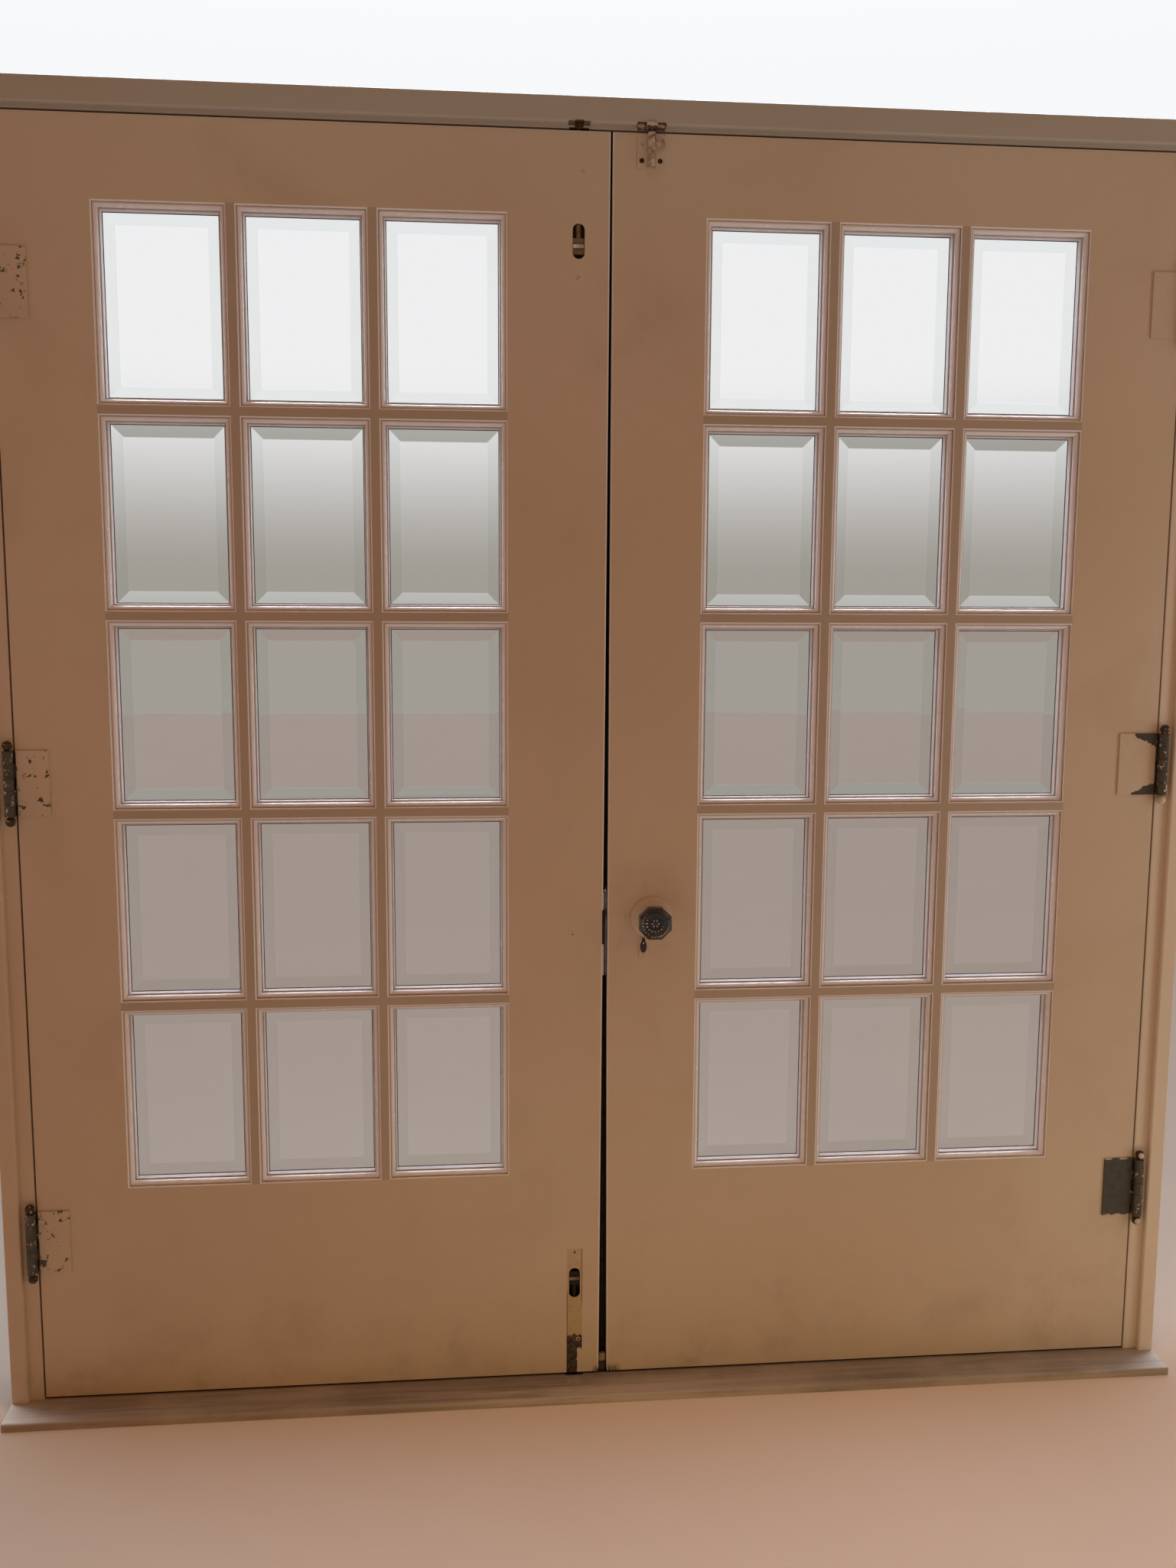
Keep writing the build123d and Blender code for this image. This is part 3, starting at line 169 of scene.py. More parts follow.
class Nodes:
    """A node tree, with short calls for the nodes used here."""

    def __init__(self, tree, coordinate):
        self.tree = tree
        self.place = tree.nodes.new("ShaderNodeTexCoord").outputs[coordinate]
        split = tree.nodes.new("ShaderNodeSeparateXYZ")
        self.link(self.place, split.inputs[0])
        self.x, self.y, self.z = split.outputs

    def link(self, source, target):
        self.tree.links.new(source, target)

    def value(self, socket, given):
        """Sets a socket: by a link, or to a number or a colour."""
        if hasattr(given, "is_output"):
            self.link(given, socket)
        elif isinstance(given, tuple) and len(given) == 3 and socket.type == "RGBA":
            socket.default_value = (*given, 1.0)
        else:
            socket.default_value = given

    def math(self, operation, first, second=0.0, clamp=False):
        node = self.tree.nodes.new("ShaderNodeMath")
        node.operation = operation
        node.use_clamp = clamp
        for socket, given in zip(node.inputs, (first, second)):
            self.value(socket, given)
        return node.outputs[0]

    def plus(self, first, second):
        return self.math("ADD", first, second)

    def minus(self, first, second):
        return self.math("SUBTRACT", first, second)

    def rest(self, share):
        """What a share leaves of 1."""
        return self.minus(1.0, share)

    def times(self, *values):
        product = values[0]
        for value in values[1:]:
            product = self.math("MULTIPLY", product, value)
        return product

    def most(self, *values):
        largest = values[0]
        for value in values[1:]:
            largest = self.math("MAXIMUM", largest, value)
        return largest

    def stretch(self, scales):
        """The place, scaled by its own amount on each axis."""
        node = self.tree.nodes.new("ShaderNodeMapping")
        self.link(self.place, node.inputs["Vector"])
        node.inputs["Scale"].default_value = scales
        return node.outputs[0]

    def noise(self, scale, detail=4.0, rough=0.55, place=None, bend=0.0):
        node = self.tree.nodes.new("ShaderNodeTexNoise")
        self.link(place or self.place, node.inputs["Vector"])
        node.inputs["Scale"].default_value = scale
        node.inputs["Detail"].default_value = detail
        node.inputs["Roughness"].default_value = rough
        node.inputs["Distortion"].default_value = bend
        return node.outputs["Fac"]

    def between(self, value, low, high, out_low=0.0, out_high=1.0):
        """A smooth step from one result to the other while a value goes from low to high."""
        node = self.tree.nodes.new("ShaderNodeMapRange")
        node.interpolation_type = "SMOOTHSTEP"
        self.value(node.inputs["Value"], value)
        self.value(node.inputs["From Min"], low)
        self.value(node.inputs["From Max"], high)
        self.value(node.inputs["To Min"], out_low)
        self.value(node.inputs["To Max"], out_high)
        return node.outputs["Result"]

    def below(self, value, low, high):
        """1 where a value is under low, 0 where it is over high."""
        return self.between(value, low, high, 1.0, 0.0)

    def mix(self, share, first, second):
        node = self.tree.nodes.new("ShaderNodeMix")
        node.data_type = "RGBA"
        self.value(node.inputs["Factor"], share)
        self.value(node.inputs["A"], first)
        self.value(node.inputs["B"], second)
        return node.outputs["Result"]

    def away(self, value, centre):
        """Distance of a value from a centre."""
        return self.math("ABSOLUTE", self.minus(value, centre))

    def within(self, value, centre, half, soft=0.0006):
        """1 inside a span about a centre, 0 outside it."""
        return self.below(self.away(value, centre), half - soft, half + soft)

    def offsets(self, x, z):
        """How far across and up from a place on the doors' face, and the distance from it."""
        across = self.minus(self.x, x)
        up = self.minus(self.z, z)
        far = self.math("SQRT", self.plus(self.times(across, across), self.times(up, up)))
        return across, up, far

    def spot(self, x, z, radius, soft=0.0008):
        """1 inside a circle on the doors' face."""
        far = self.offsets(x, z)[2]
        return self.below(far, radius - soft, radius + soft)


class Surface(Nodes):
    """A material's nodes, in the object's own coordinates, and its shader."""

    def __init__(self, name):
        self.material = bpy.data.materials.new(name)
        self.material.use_nodes = True
        super().__init__(self.material.node_tree, "Object")
        self.shader = self.tree.nodes["Principled BSDF"]

    def bump(self, height, strength, distance, edge=0.0):
        """Relief from a height, over edges that look rounded by a radius."""
        node = self.tree.nodes.new("ShaderNodeBump")
        if edge:
            rounded = self.tree.nodes.new("ShaderNodeBevel")
            rounded.samples = bevel_samples
            rounded.inputs["Radius"].default_value = edge
            self.link(rounded.outputs[0], node.inputs["Normal"])
        node.inputs["Strength"].default_value = strength
        node.inputs["Distance"].default_value = distance
        self.link(height, node.inputs["Height"])
        self.link(node.outputs[0], self.shader.inputs["Normal"])

    def shine(self, level):
        self.value(self.shader.inputs["Specular IOR Level"], level)

    def finish(self, colour, roughness, metallic=0.0):
        self.value(self.shader.inputs["Base Color"], colour)
        self.value(self.shader.inputs["Roughness"], roughness)
        self.value(self.shader.inputs["Metallic"], metallic)
        return self.material


def old_paint(made, brush):
    """Cream gloss gone uneven: broad shifts, small stains and the brush's marks."""
    broad = made.noise(1.1, 3.0, 0.5)
    patch = made.noise(5.0, 6.0, 0.6, bend=0.5)
    colour = made.mix(made.between(broad, 0.35, 0.65), cream, cream_light)
    colour = made.mix(made.times(made.between(patch, 0.48, 0.75), 0.4), colour, cream_dull)
    return made.mix(made.times(made.between(brush, 0.35, 0.7), 0.12), colour, cream_light)


def gap_shade_mask(made):
    """1 in the narrow gaps round the leaves, behind their room faces, where shade is painted."""
    inside = made.times(made.between(made.y, 0.002, 0.014), made.below(made.y, 0.034, 0.042))
    meeting = made.within(made.x, gap_middle, gap_middle_half)
    head = made.within(made.z, gap_head, gap_half)
    foot = made.within(made.z, gap_foot, gap_half)
    sides = made.within(made.math("ABSOLUTE", made.x), gap_side, gap_side_half)
    return made.times(inside, made.most(meeting, head, foot, made.times(sides, 0.25)))


def moulding_shade_and_light(made):
    """Dirt and painted shade in the mouldings' quirks, and painted highlights on their faces, told by
    depth.
    """
    ragged = made.between(made.noise(35.0, 5.0, 0.65), 0.3, 0.6, 0.35, 1.0)
    # Dark lines, partly dirt and partly painted shade: the quirk, the ovolo's foot and beside the glass
    quirk = made.times(made.within(made.y, 0.0026, 0.0009, 0.0003), 0.75)
    foot = made.times(made.within(made.y, 0.0122, 0.0007, 0.0002), 0.8)
    glass_line = made.times(made.within(made.y, 0.0215, 0.0008, 0.0003), 0.7)
    dirt = made.times(made.most(quirk, foot, glass_line), ragged)
    # Painted highlights on the chamfer, ovolo and slope
    chamfer = made.times(made.within(made.y, 0.0009, 0.0006, 0.0002), 0.9)
    ovolo = made.times(made.within(made.y, 0.0075, 0.0036, 0.0006), 0.9)
    slope = made.within(made.y, 0.0170, 0.0040, 0.0006)
    return dirt, made.most(chamfer, ovolo, slope)


def handled_dirt(made):
    """Dirt low on the doors and, fainter, round the knob."""
    low = made.below(made.z, 0.02, 0.28)
    dirt = made.times(low, made.between(made.noise(11.0, 7.0, 0.7), 0.45, 0.75), 0.22)
    near_knob = made.spot(0.05, 0.80, 0.06, 0.09)
    rub = made.times(near_knob, made.between(made.noise(14.0, 5.0, 0.6), 0.4, 0.7), 0.3)
    return made.math("ADD", dirt, rub, clamp=True)


def meeting_glint(made):
    """Light along the arrises on both sides of the gap between the leaves."""
    up = made.minus(made.z, leaf_foot)
    left_edge = made.plus(left_edge_foot, made.times(up, left_edge_lean))
    under_bend = made.math("MAXIMUM", made.minus(right_edge_bend, up), 0.0)
    right_edge = made.plus(right_edge_head, made.times(under_bend, right_edge_lean))
    left_line = made.within(made.minus(made.x, left_edge), -0.0012, 0.0010, 0.0004)
    right_line = made.within(made.minus(made.x, right_edge), 0.0011, 0.0009, 0.0004)
    return made.times(made.most(left_line, right_line), made.below(made.y, 0.002, 0.003), 0.6)


def frame_light_and_shade(made, colour):
    """Painted light and shade: the head's face greyer and the right jamb's face paler."""
    head = made.times(made.between(made.z, 2.017, 2.02), 0.6)
    colour = made.mix(head, colour, head_shade_grey)
    jamb = made.times(made.between(made.x, 0.917, 0.925), 0.6)
    return made.mix(jamb, colour, jamb_lit_pale)


def head_notch_shade(made):
    """Painted shade in the head's notches round the flush bolt's strike and the barrel bolt's keeper."""
    beside = made.most(made.within(made.x, flush_x, 0.0168), made.within(made.x, barrel_x, 0.0225))
    level = made.within(made.z, 2.0265, 0.0032, 0.0003)
    return made.times(beside, level, made.between(made.y, -0.0098, -0.0095), 0.8)


def foot_splinters(made):
    """1 on the bare splintered wood at the foot of the meeting stiles."""
    foot = made.below(made.z, leaf_foot, 0.034)
    centre = made.within(made.x, 0.004, 0.022, 0.006)
    splinter = made.noise(1.0, 4.0, 0.7, made.stretch((420.0, 420.0, 60.0)))
    return made.times(foot, centre, made.between(splinter, 0.40, 0.48))


def painted_timber(name, along, ends=False, moulded=True, bar=False):
    """Old cream gloss on timber: brush marks along the grain, soft stains, painted shade in the gaps."""
    made = Surface(name)
    grain = {"X": (2.0, 70.0, 70.0), "Z": (70.0, 70.0, 2.0)}[along]
    brush = made.noise(1.0, 5.0, 0.6, made.stretch(grain))
    fine = made.noise(1.0, 3.0, 0.6, made.stretch(tuple(4.0 * g for g in grain)))
    colour = old_paint(made, brush)
    colour = made.mix(handled_dirt(made), colour, grime_and_shade)
    # Painted shade: the glazing bars darker than the stiles and rails
    if bar:
        colour = made.mix(0.55, colour, bar_shade)
    pale = 0.0
    # Painted highlights on the mouldings, and their dark lines of dirt and painted shade
    if moulded:
        lines, pale = moulding_shade_and_light(made)
        colour = made.mix(pale, colour, arris_light)
        colour = made.mix(lines, colour, grime_and_shade)
    if ends:
        colour = made.mix(meeting_glint(made), colour, edge_glint)
    # Painted shade in the gaps round the leaves, and on the frame in the head's notches
    dark = gap_shade_mask(made)
    if not moulded:
        # Painted light and shade on the frame's faces
        colour = frame_light_and_shade(made, colour)
        dark = made.most(dark, head_notch_shade(made))
    colour = made.mix(dark, colour, gap_shade)
    if ends:
        colour = made.mix(foot_splinters(made), colour, grime_and_shade)
        colour = made.mix(made.spot(*nail_hole, 0.0013), colour, grime_and_shade)
    made.bump(made.plus(made.times(brush, 0.7), made.times(fine, 0.3)), 0.3, 0.0006)
    rough = made.between(made.noise(25.0, 4.0, 0.6), 0.3, 0.7, 0.34, 0.5)
    rough = made.minus(rough, made.times(pale, 0.22))
    rough = made.math("MAXIMUM", rough, made.times(dark, 0.95))
    shine = made.plus(0.5, made.times(pale, 0.4))
    made.shine(made.times(shine, made.between(dark, 0.0, 1.0, 1.0, 0.04)))
    return made.finish(colour, rough)


def weathered_timber():
    """The sill: bare dark wood, paler where feet have gone over it and by the flush bolt, with painted
    shade under the leaves.
    """
    made = Surface("weathered_timber")
    grain = made.noise(1.0, 7.0, 0.65, made.stretch((3.0, 60.0, 60.0)), bend=0.6)
    fine = made.noise(1.0, 4.0, 0.7, made.stretch((14.0, 420.0, 420.0)))
    blotch = made.noise(5.0, 6.0, 0.65)
    colour = made.mix(made.between(grain, 0.3, 0.7), sill_dark, sill_light)
    blotches = made.times(made.between(blotch, 0.42, 0.7), 0.7)
    colour = made.mix(blotches, colour, sill_blotch)
    middle = made.times(
        made.within(made.x, -0.02, 0.22, 0.2), made.within(made.y, -0.05, 0.02, 0.015),
    )
    trodden = made.times(middle, made.between(grain, 0.35, 0.6))
    colour = made.mix(trodden, colour, sill_trodden)
    scraped = made.times(
        made.within(made.x, -0.052, 0.012, 0.005), made.within(made.y, -0.02, 0.012, 0.008),
        made.between(made.noise(160.0, 4.0, 0.6), 0.4, 0.5),
    )
    colour = made.mix(scraped, colour, sill_scraped)
    # Painted shade under the leaves
    under = made.times(made.between(made.y, 0.0, 0.006), made.below(made.y, 0.040, 0.046))
    colour = made.mix(under, colour, gap_shade)
    made.bump(made.plus(grain, made.times(fine, 0.5)), 0.6, 0.001)
    made.shine(made.between(under, 0.0, 1.0, 0.4, 0.0))
    return made.finish(colour, made.between(blotch, 0.3, 0.7, 0.5, 0.75))


def worn_mix(made, bare, metal, stain, metallic):
    """Paint over metal: bare says where the paint is gone."""
    stains = made.between(made.noise(90.0, 5.0, 0.7), 0.45, 0.7)
    steel = made.mix(made.times(stains, 0.6), metal, stain)
    brush = made.noise(40.0, 4.0, 0.6)
    colour = made.mix(bare, old_paint(made, brush), steel)
    fine = made.noise(260.0, 4.0, 0.6)
    height = made.minus(made.times(fine, 0.12), made.times(bare, 0.5))
    made.bump(height, 0.6, 0.0005, 0.0006)
    rough = made.plus(0.42, made.times(bare, made.times(stains, 0.2)))
    return made.finish(colour, rough, made.times(bare, metallic))


def hinge_leaf_metal(name, heights):
    """Door halves of one leaf's hinges: each hinge has kept its own share of paint."""
    made = Surface(name)
    from_edge = made.minus(hinge_edge, made.math("ABSOLUTE", made.x))
    ragged = made.noise(110.0, 5.0, 0.65)
    chips = made.between(made.noise(60.0, 5.0, 0.65, bend=0.4), 0.56, 0.58)
    knuckle = made.math("LESS_THAN", from_edge, 0.0015)
    flecks = made.below(ragged, 0.60, 0.62)
    shares = []
    for height in heights:
        up = made.away(made.z, height)
        reach = made.math("POWER", made.between(up, 0.020, hinge_half_height), 1.6)
        corner = made.minus(made.times(reach, 0.040), from_edge)
        uneven = made.times(made.minus(ragged, 0.5), 0.03)
        ragged_corner = made.between(made.plus(corner, uneven), 0.0, 0.001)
        if height in left_hinges:
            # Chipped, most at the corners
            flakes = made.times(chips, made.between(ragged, 0.52, 0.54))
            plate = made.most(made.times(ragged_corner, chips), flakes)
        elif height == right_hinges[0]:
            # Bare but for its rim
            rim = made.most(made.between(up, 0.0485, 0.0495), made.between(from_edge, 0.0615, 0.0625))
            plate = made.rest(made.times(rim, made.between(ragged, 0.5, 0.52)))
        elif height == right_hinges[1]:
            # Bare at its corners
            plate = ragged_corner
        else:
            # All painted
            plate = 0.0
        bare = made.most(made.times(plate, made.rest(knuckle)), made.times(knuckle, flecks))
        shares.append(made.times(bare, made.within(made.z, height, 0.08, 0.01)))
    return worn_mix(made, made.most(*shares), iron, hinge_stain, 0.5)


def frame_hinge_metal():
    """Frame halves, whose knuckles are mostly bare with flecks of paint."""
    made = Surface("frame_hinge_metal")
    ragged = made.noise(120.0, 5.0, 0.65)
    deep = made.between(made.y, 0.002, 0.004, 1.0, 0.35)
    return worn_mix(made, made.times(made.below(ragged, 0.58, 0.60), deep), iron, hinge_stain, 0.5)


def tip_metal():
    """Hinge pins' ball tips: dark, with paint left on the lowest right ones and under the middle."""
    made = Surface("tip_metal")
    right = made.math("GREATER_THAN", made.x, 0.0)
    low_right = made.times(right, made.math("LESS_THAN", made.z, 0.5))
    under_middle = made.times(right, made.within(made.z, 0.985, 0.012, 0.002))
    front = made.below(made.y, -0.0150, -0.0140)
    ragged = made.noise(200.0, 4.0, 0.6)
    painted = made.most(
        made.times(low_right, front), under_middle, made.between(ragged, 0.62, 0.64),
    )
    return worn_mix(made, made.rest(painted), (0.045, 0.045, 0.038), rust, 0.5)


def few_chips(made, level):
    """1 in the chips of paint that has hardly chipped."""
    ragged = made.noise(85.0, 6.0, 0.65, bend=0.3)
    return made.between(ragged, level, level + 0.015)


def plain_painted_metal(name, level):
    """Metal painted over with the doors and hardly chipped."""
    made = Surface(name)
    return worn_mix(made, few_chips(made, level), iron, rust, 0.2)


def keyhole_plate_metal():
    """The keyhole plates: painted as the roses are, with a bare pin and painted shade, near-black, inside
    the keyhole.
    """
    made = Surface("keyhole_plate_paint")
    chips = few_chips(made, 0.72)
    pin = made.below(made.y, -0.0016, -0.0014)
    inside = made.between(made.y, -0.001, -0.0005)
    # Painted shade inside the keyhole
    keyhole = made.times(made.spot(cover_pin[0], keyhole_height, 0.0088), inside)
    return worn_mix(made, made.most(chips, pin, keyhole), (0.016, 0.010, 0.008), dark_iron, 0.2)


def barrel_metal():
    """The barrel bolt: greyish old paint, worn off the barrel and near the top."""
    made = Surface("barrel_metal")
    ragged = made.noise(95.0, 6.0, 0.65, bend=0.3)
    upper = made.between(made.z, 1.996, 2.012)
    proud = made.between(made.y, -0.004, -0.006)
    bare = made.most(
        made.times(made.between(ragged, 0.52, 0.54), upper),
        made.times(proud, made.between(ragged, 0.44, 0.52), 0.5),
        made.between(ragged, 0.66, 0.67),
    )
    return worn_mix(made, bare, (0.10, 0.09, 0.07), grime_and_shade, 0.3)


def keeper_metal():
    """The barrel bolt's keeper, its paint chipped along the lower edge."""
    made = Surface("keeper_metal")
    ragged = made.noise(150.0, 5.0, 0.65)
    low = made.between(made.z, 2.0195, 2.027, 0.42, 0.60)
    bare = made.between(made.minus(ragged, low), 0.0, 0.02)
    return worn_mix(made, bare, (0.09, 0.08, 0.065), grime_and_shade, 0.3)


def plate_recess(made):
    """1 inside the slot of a flush bolt's plate."""
    return made.between(made.y, 0.0022, 0.0026)


def head_flush_plate_metal():
    """The head flush bolt's plate, all painted but for its slot."""
    made = Surface("top_flush_metal")
    return worn_mix(made, plate_recess(made), (0.04, 0.034, 0.025), tarnish, 0.3)


def foot_flush_plate_metal():
    """The foot flush bolt's plate: olive metal, dark at its foot, with paint along one side, and painted
    shade in its slot and along two edges.
    """
    made = Surface("bottom_flush_metal")
    recess = plate_recess(made)
    ragged = made.noise(130.0, 5.0, 0.65)
    uneven = made.times(made.minus(ragged, 0.5), 0.02)
    brush = made.noise(40.0, 4.0, 0.6)
    upper = made.between(made.z, 0.170, 0.175)
    metal = made.mix(upper, (0.52, 0.40, 0.24), olive)
    metal = made.mix(made.times(made.between(ragged, 0.5, 0.66), 0.3), metal, (0.26, 0.20, 0.12))
    # Painted shade lines along two stretches of the plate's edges
    right_line = made.times(
        made.within(made.x, -0.0374, 0.0008, 0.0003), made.between(made.z, 0.13, 0.15),
    )
    left_line = made.times(
        made.within(made.x, -0.0626, 0.0009, 0.0003), made.below(made.z, 0.15, 0.17),
    )
    metal = made.mix(made.times(made.most(right_line, left_line), 0.85), metal, gap_shade)
    foot_dark = made.below(made.plus(made.z, uneven), 0.083, 0.086)
    mottle = made.mix(made.between(ragged, 0.42, 0.6), (0.028, 0.022, 0.018), (0.10, 0.075, 0.055))
    metal = made.mix(foot_dark, metal, mottle)
    # Painted shade inside the slot
    metal = made.mix(recess, metal, (0.012, 0.011, 0.010))
    strip = made.minus(made.x, made.minus(-0.0455, made.times(uneven, 0.35)))
    low = made.below(made.plus(made.z, uneven), 0.060, 0.062)
    painted = made.times(low, made.between(strip, 0.0, 0.0005))
    specks = made.times(made.between(made.noise(60.0, 5.0, 0.65), 0.60, 0.62), upper)
    paint = made.most(painted, specks)
    colour = made.mix(paint, metal, old_paint(made, brush))
    fine = made.noise(260.0, 4.0, 0.6)
    made.bump(made.plus(made.times(fine, 0.15), made.times(paint, 0.5)), 0.6, 0.0005, 0.0005)
    rough = made.between(ragged, 0.3, 0.7, 0.4, 0.62)
    return made.finish(colour, rough, made.times(made.rest(paint), 0.15))


def slide_metal(name, pad, bar, level):
    """Flush bolt's slide: a dull pad with a paler ridge across it at a height."""
    made = Surface(name)
    ragged = made.noise(130.0, 5.0, 0.65)
    colour = made.mix(made.between(ragged, 0.4, 0.65), pad, tuple(0.55 * c for c in pad))
    fade = made.between(made.x, -0.058, -0.045, 1.0, 0.45)
    across = made.within(made.z, level, 0.0027, 0.0003)
    ridge = made.times(across, made.below(made.y, 0.0019, 0.0024), fade)
    colour = made.mix(ridge, colour, bar)
    made.bump(ragged, 0.4, 0.0004, 0.0005)
    return made.finish(colour, 0.5, 0.1)


def bare_metal(name, colour, stain, metallic, rough):
    """A dull handled surface, stained in patches, between two roughnesses."""
    made = Surface(name)
    patch = made.noise(55.0, 6.0, 0.65)
    scratch = made.noise(1.0, 4.0, 0.6, made.stretch((900.0, 900.0, 60.0)))
    mixed = made.mix(made.between(patch, 0.4, 0.68), colour, stain)
    height = made.plus(made.times(patch, 0.6), made.times(scratch, 0.3))
    made.bump(height, 0.35, 0.0003, 0.0005)
    return made.finish(mixed, made.between(patch, 0.35, 0.7, *rough), metallic)


def clear_glass(name, tint, waves, bevel_tint=None):
    """Old glass: clear, with slow waves, a little dust and, on panes, faintly darker bevels."""
    made = Surface(name)
    made.shader.inputs["Transmission Weight"].default_value = 1.0
    made.shader.inputs["IOR"].default_value = 1.5
    wave = made.noise(7.0, 2.0, 0.4)
    dust = made.noise(40.0, 6.0, 0.7)
    made.bump(wave, waves, 0.002)
    colour = tint
    if bevel_tint:
        bevel = made.within(made.y, 0.0262, 0.00165, 0.00005)
        colour = made.mix(bevel, tint, bevel_tint)
    return made.finish(colour, made.between(dust, 0.3, 0.75, 0.0, 0.03))


def knob_star_reflection():
    """Painted reflection: a near-black star behind the knob's glass, with painted glints where its points
    cross two rings.
    """
    made = Surface("knob_star")
    across, up, far = made.offsets(*knob_place)
    turn = made.math("ARCTAN2", up, across)

    def glints(radius, half, count, low, high):
        points = made.between(made.math("COSINE", made.times(turn, count)), low, high)
        return made.times(made.within(far, radius, half, 0.0004), points)

    inner = glints(0.0052, 0.0016, 6.0, 0.2, 0.6)
    outer = glints(0.0140, 0.0010, 16.0, 0.3, 0.7)
    lower = made.between(made.math("COSINE", made.minus(turn, -2.1)), -0.5, 0.4, 0.12, 1.0)
    glint = made.most(inner, made.times(outer, lower))
    colour = made.mix(glint, (0.010, 0.009, 0.009), (0.95, 0.93, 0.9))
    made.bump(made.noise(300.0, 3.0, 0.6), 0.2, 0.0003)
    return made.finish(colour, 0.25)


def ringed_screw(name, place, core_radius):
    """A screw head dark at its slot, with paint left round its rim."""
    made = Surface(name)
    ragged = made.noise(300.0, 4.0, 0.6)
    core = made.spot(place[0], place[2], core_radius, 0.0004)
    dark = made.most(core, made.between(ragged, 0.60, 0.63))
    made.bump(ragged, 0.4, 0.0003, 0.0004)
    return made.finish(made.mix(dark, cream_light, (0.03, 0.022, 0.016)), 0.5)


def look(node, material):
    """Gives a CAD node its material."""
    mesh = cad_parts[node].data
    mesh.materials.clear()
    mesh.materials.append(material)


timber_z = painted_timber("painted_timber_upright", "Z")
timber_x = painted_timber("painted_timber_cross", "X")
timber_edge = painted_timber("painted_timber_meeting", "Z", ends=True)
# Darker copies of the paint for the glazing bars: painted shade
bars_z = painted_timber("bars_painted_shade_upright", "Z", bar=True)
bars_x = painted_timber("bars_painted_shade_cross", "X", bar=True)
frame_z = painted_timber("painted_frame_upright", "Z", moulded=False)
frame_x = painted_timber("painted_frame_cross", "X", moulded=False)
sill_wood = weathered_timber()
pane_glass = clear_glass("pane_glass", (0.97, 0.98, 0.98), 0.08, (0.80, 0.84, 0.82))
knob_glass = clear_glass("knob_glass", (0.93, 0.92, 0.90), 0.02)
dark_metal = bare_metal("dark_metal", dark_iron, (0.05, 0.032, 0.02), 0.6, (0.3, 0.5))
tip_finish = tip_metal()
gloss_brown = bare_metal("cover_gloss", (0.012, 0.007, 0.006), (0.025, 0.012, 0.008), 0.0, (0.08, 0.16))
painted_metal = plain_painted_metal("painted_metal", 0.6)
right_screw_finish = hinge_leaf_metal("right_hinge_screw_metal", right_hinges)
rose_paint = plain_painted_metal("rose_paint", 0.72)
key_paint = keyhole_plate_metal()
barrel_finish = barrel_metal()
keeper_finish = keeper_metal()
dark_brass = bare_metal("dark_brass", (0.10, 0.075, 0.04), dark_iron, 0.6, (0.35, 0.55))
dull_steel = bare_metal("dull_steel", (0.32, 0.31, 0.3), (0.12, 0.1, 0.09), 0.9, (0.25, 0.5))
# Near-black for the draught strip and the lip in the meeting gap: painted shade
strip_painted_shade = bare_metal("strip_shade_dark", (0.02, 0.016, 0.012), (0.012, 0.01, 0.008), 0.0, (0.7, 0.9))

finishes = {
    "jamb_left": frame_z, "jamb_right": frame_z, "head_jamb": frame_x, "sill": sill_wood,
    "casing_left": frame_z, "casing_right": frame_z, "casing_head": frame_x,
    "jamb_hinge_halves": frame_hinge_metal(), "hinge_pins": tip_finish, "jamb_hinge_screws": dark_metal,
    "left_door_hinge_halves": hinge_leaf_metal("left_hinge_metal", left_hinges),
    "right_door_hinge_halves": hinge_leaf_metal("right_hinge_metal", right_hinges),
    "left_door_hinge_screws": painted_metal, "right_door_hinge_screws": right_screw_finish,
    "flush_bolt_strikes": dark_brass, "barrel_bolt_keeper": keeper_finish,
    "top_flush_bolt_plate": head_flush_plate_metal(),
    "bottom_flush_bolt_plate": foot_flush_plate_metal(),
    "edge_strike": dark_metal, "draught_strip": strip_painted_shade,
    "top_flush_bolt_slide": slide_metal(
        "top_slide_metal", (0.20, 0.16, 0.10), (0.80, 0.76, 0.68), head_slide_ridge,
    ),
    "bottom_flush_bolt_slide": slide_metal(
        "bottom_slide_metal", (0.007, 0.006, 0.005), (0.30, 0.25, 0.17), foot_slide_ridge,
    ),
    "lock_case": dull_steel, "lock_faceplate": dark_brass, "knob_roses": rose_paint,
    "keyhole_plates": key_paint, "barrel_bolt_plate": barrel_finish, "latch_bolt": dark_brass,
    "dead_bolt": dark_brass, "lock_hub": dull_steel, "knob_spindle": dull_steel,
    "knob_shanks": dark_metal, "inside_glass_knob": knob_glass, "outside_glass_knob": knob_glass,
    "keyhole_cover": dark_metal, "barrel_bolt_slide": barrel_finish,
}
for side in ("left", "right"):
    for row in range(1, 6):
        finishes[f"{side}_glass_row_{row}"] = pane_glass
    finishes[side + "_hinge_stile"] = timber_z
    finishes[side + "_meeting_stile"] = timber_edge
    finishes[side + "_top_rail"] = timber_x
    finishes[side + "_bottom_rail"] = timber_x
    finishes[side + "_upright_bars"] = bars_z
    finishes[side + "_cross_bars"] = bars_x
    finishes[side + "_putty"] = timber_z
for node, material in finishes.items():
    look(node, material)


def new_piece(name, build, body, slot, *materials):
    """Links a mesh made by a bmesh builder as a piece that rides on a body."""
    mesh = bpy.data.meshes.new(name)
    shape = bmesh.new()
    build(shape)
    bmesh.ops.recalc_face_normals(shape, faces=shape.faces)
    shape.to_mesh(mesh)
    shape.free()
    for material in materials:
        mesh.materials.append(material)
    piece = bpy.data.objects.new(name, mesh)
    bpy.context.scene.collection.objects.link(piece)
    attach(piece, body)
    return piece


def shade_smooth(piece):
    """Shades a piece smooth, apart from its sharper edges."""
    mesh = piece.data
    for face in mesh.polygons:
        face.use_smooth = True
    mesh.set_sharp_from_angle(angle=math.radians(sharp_angle))


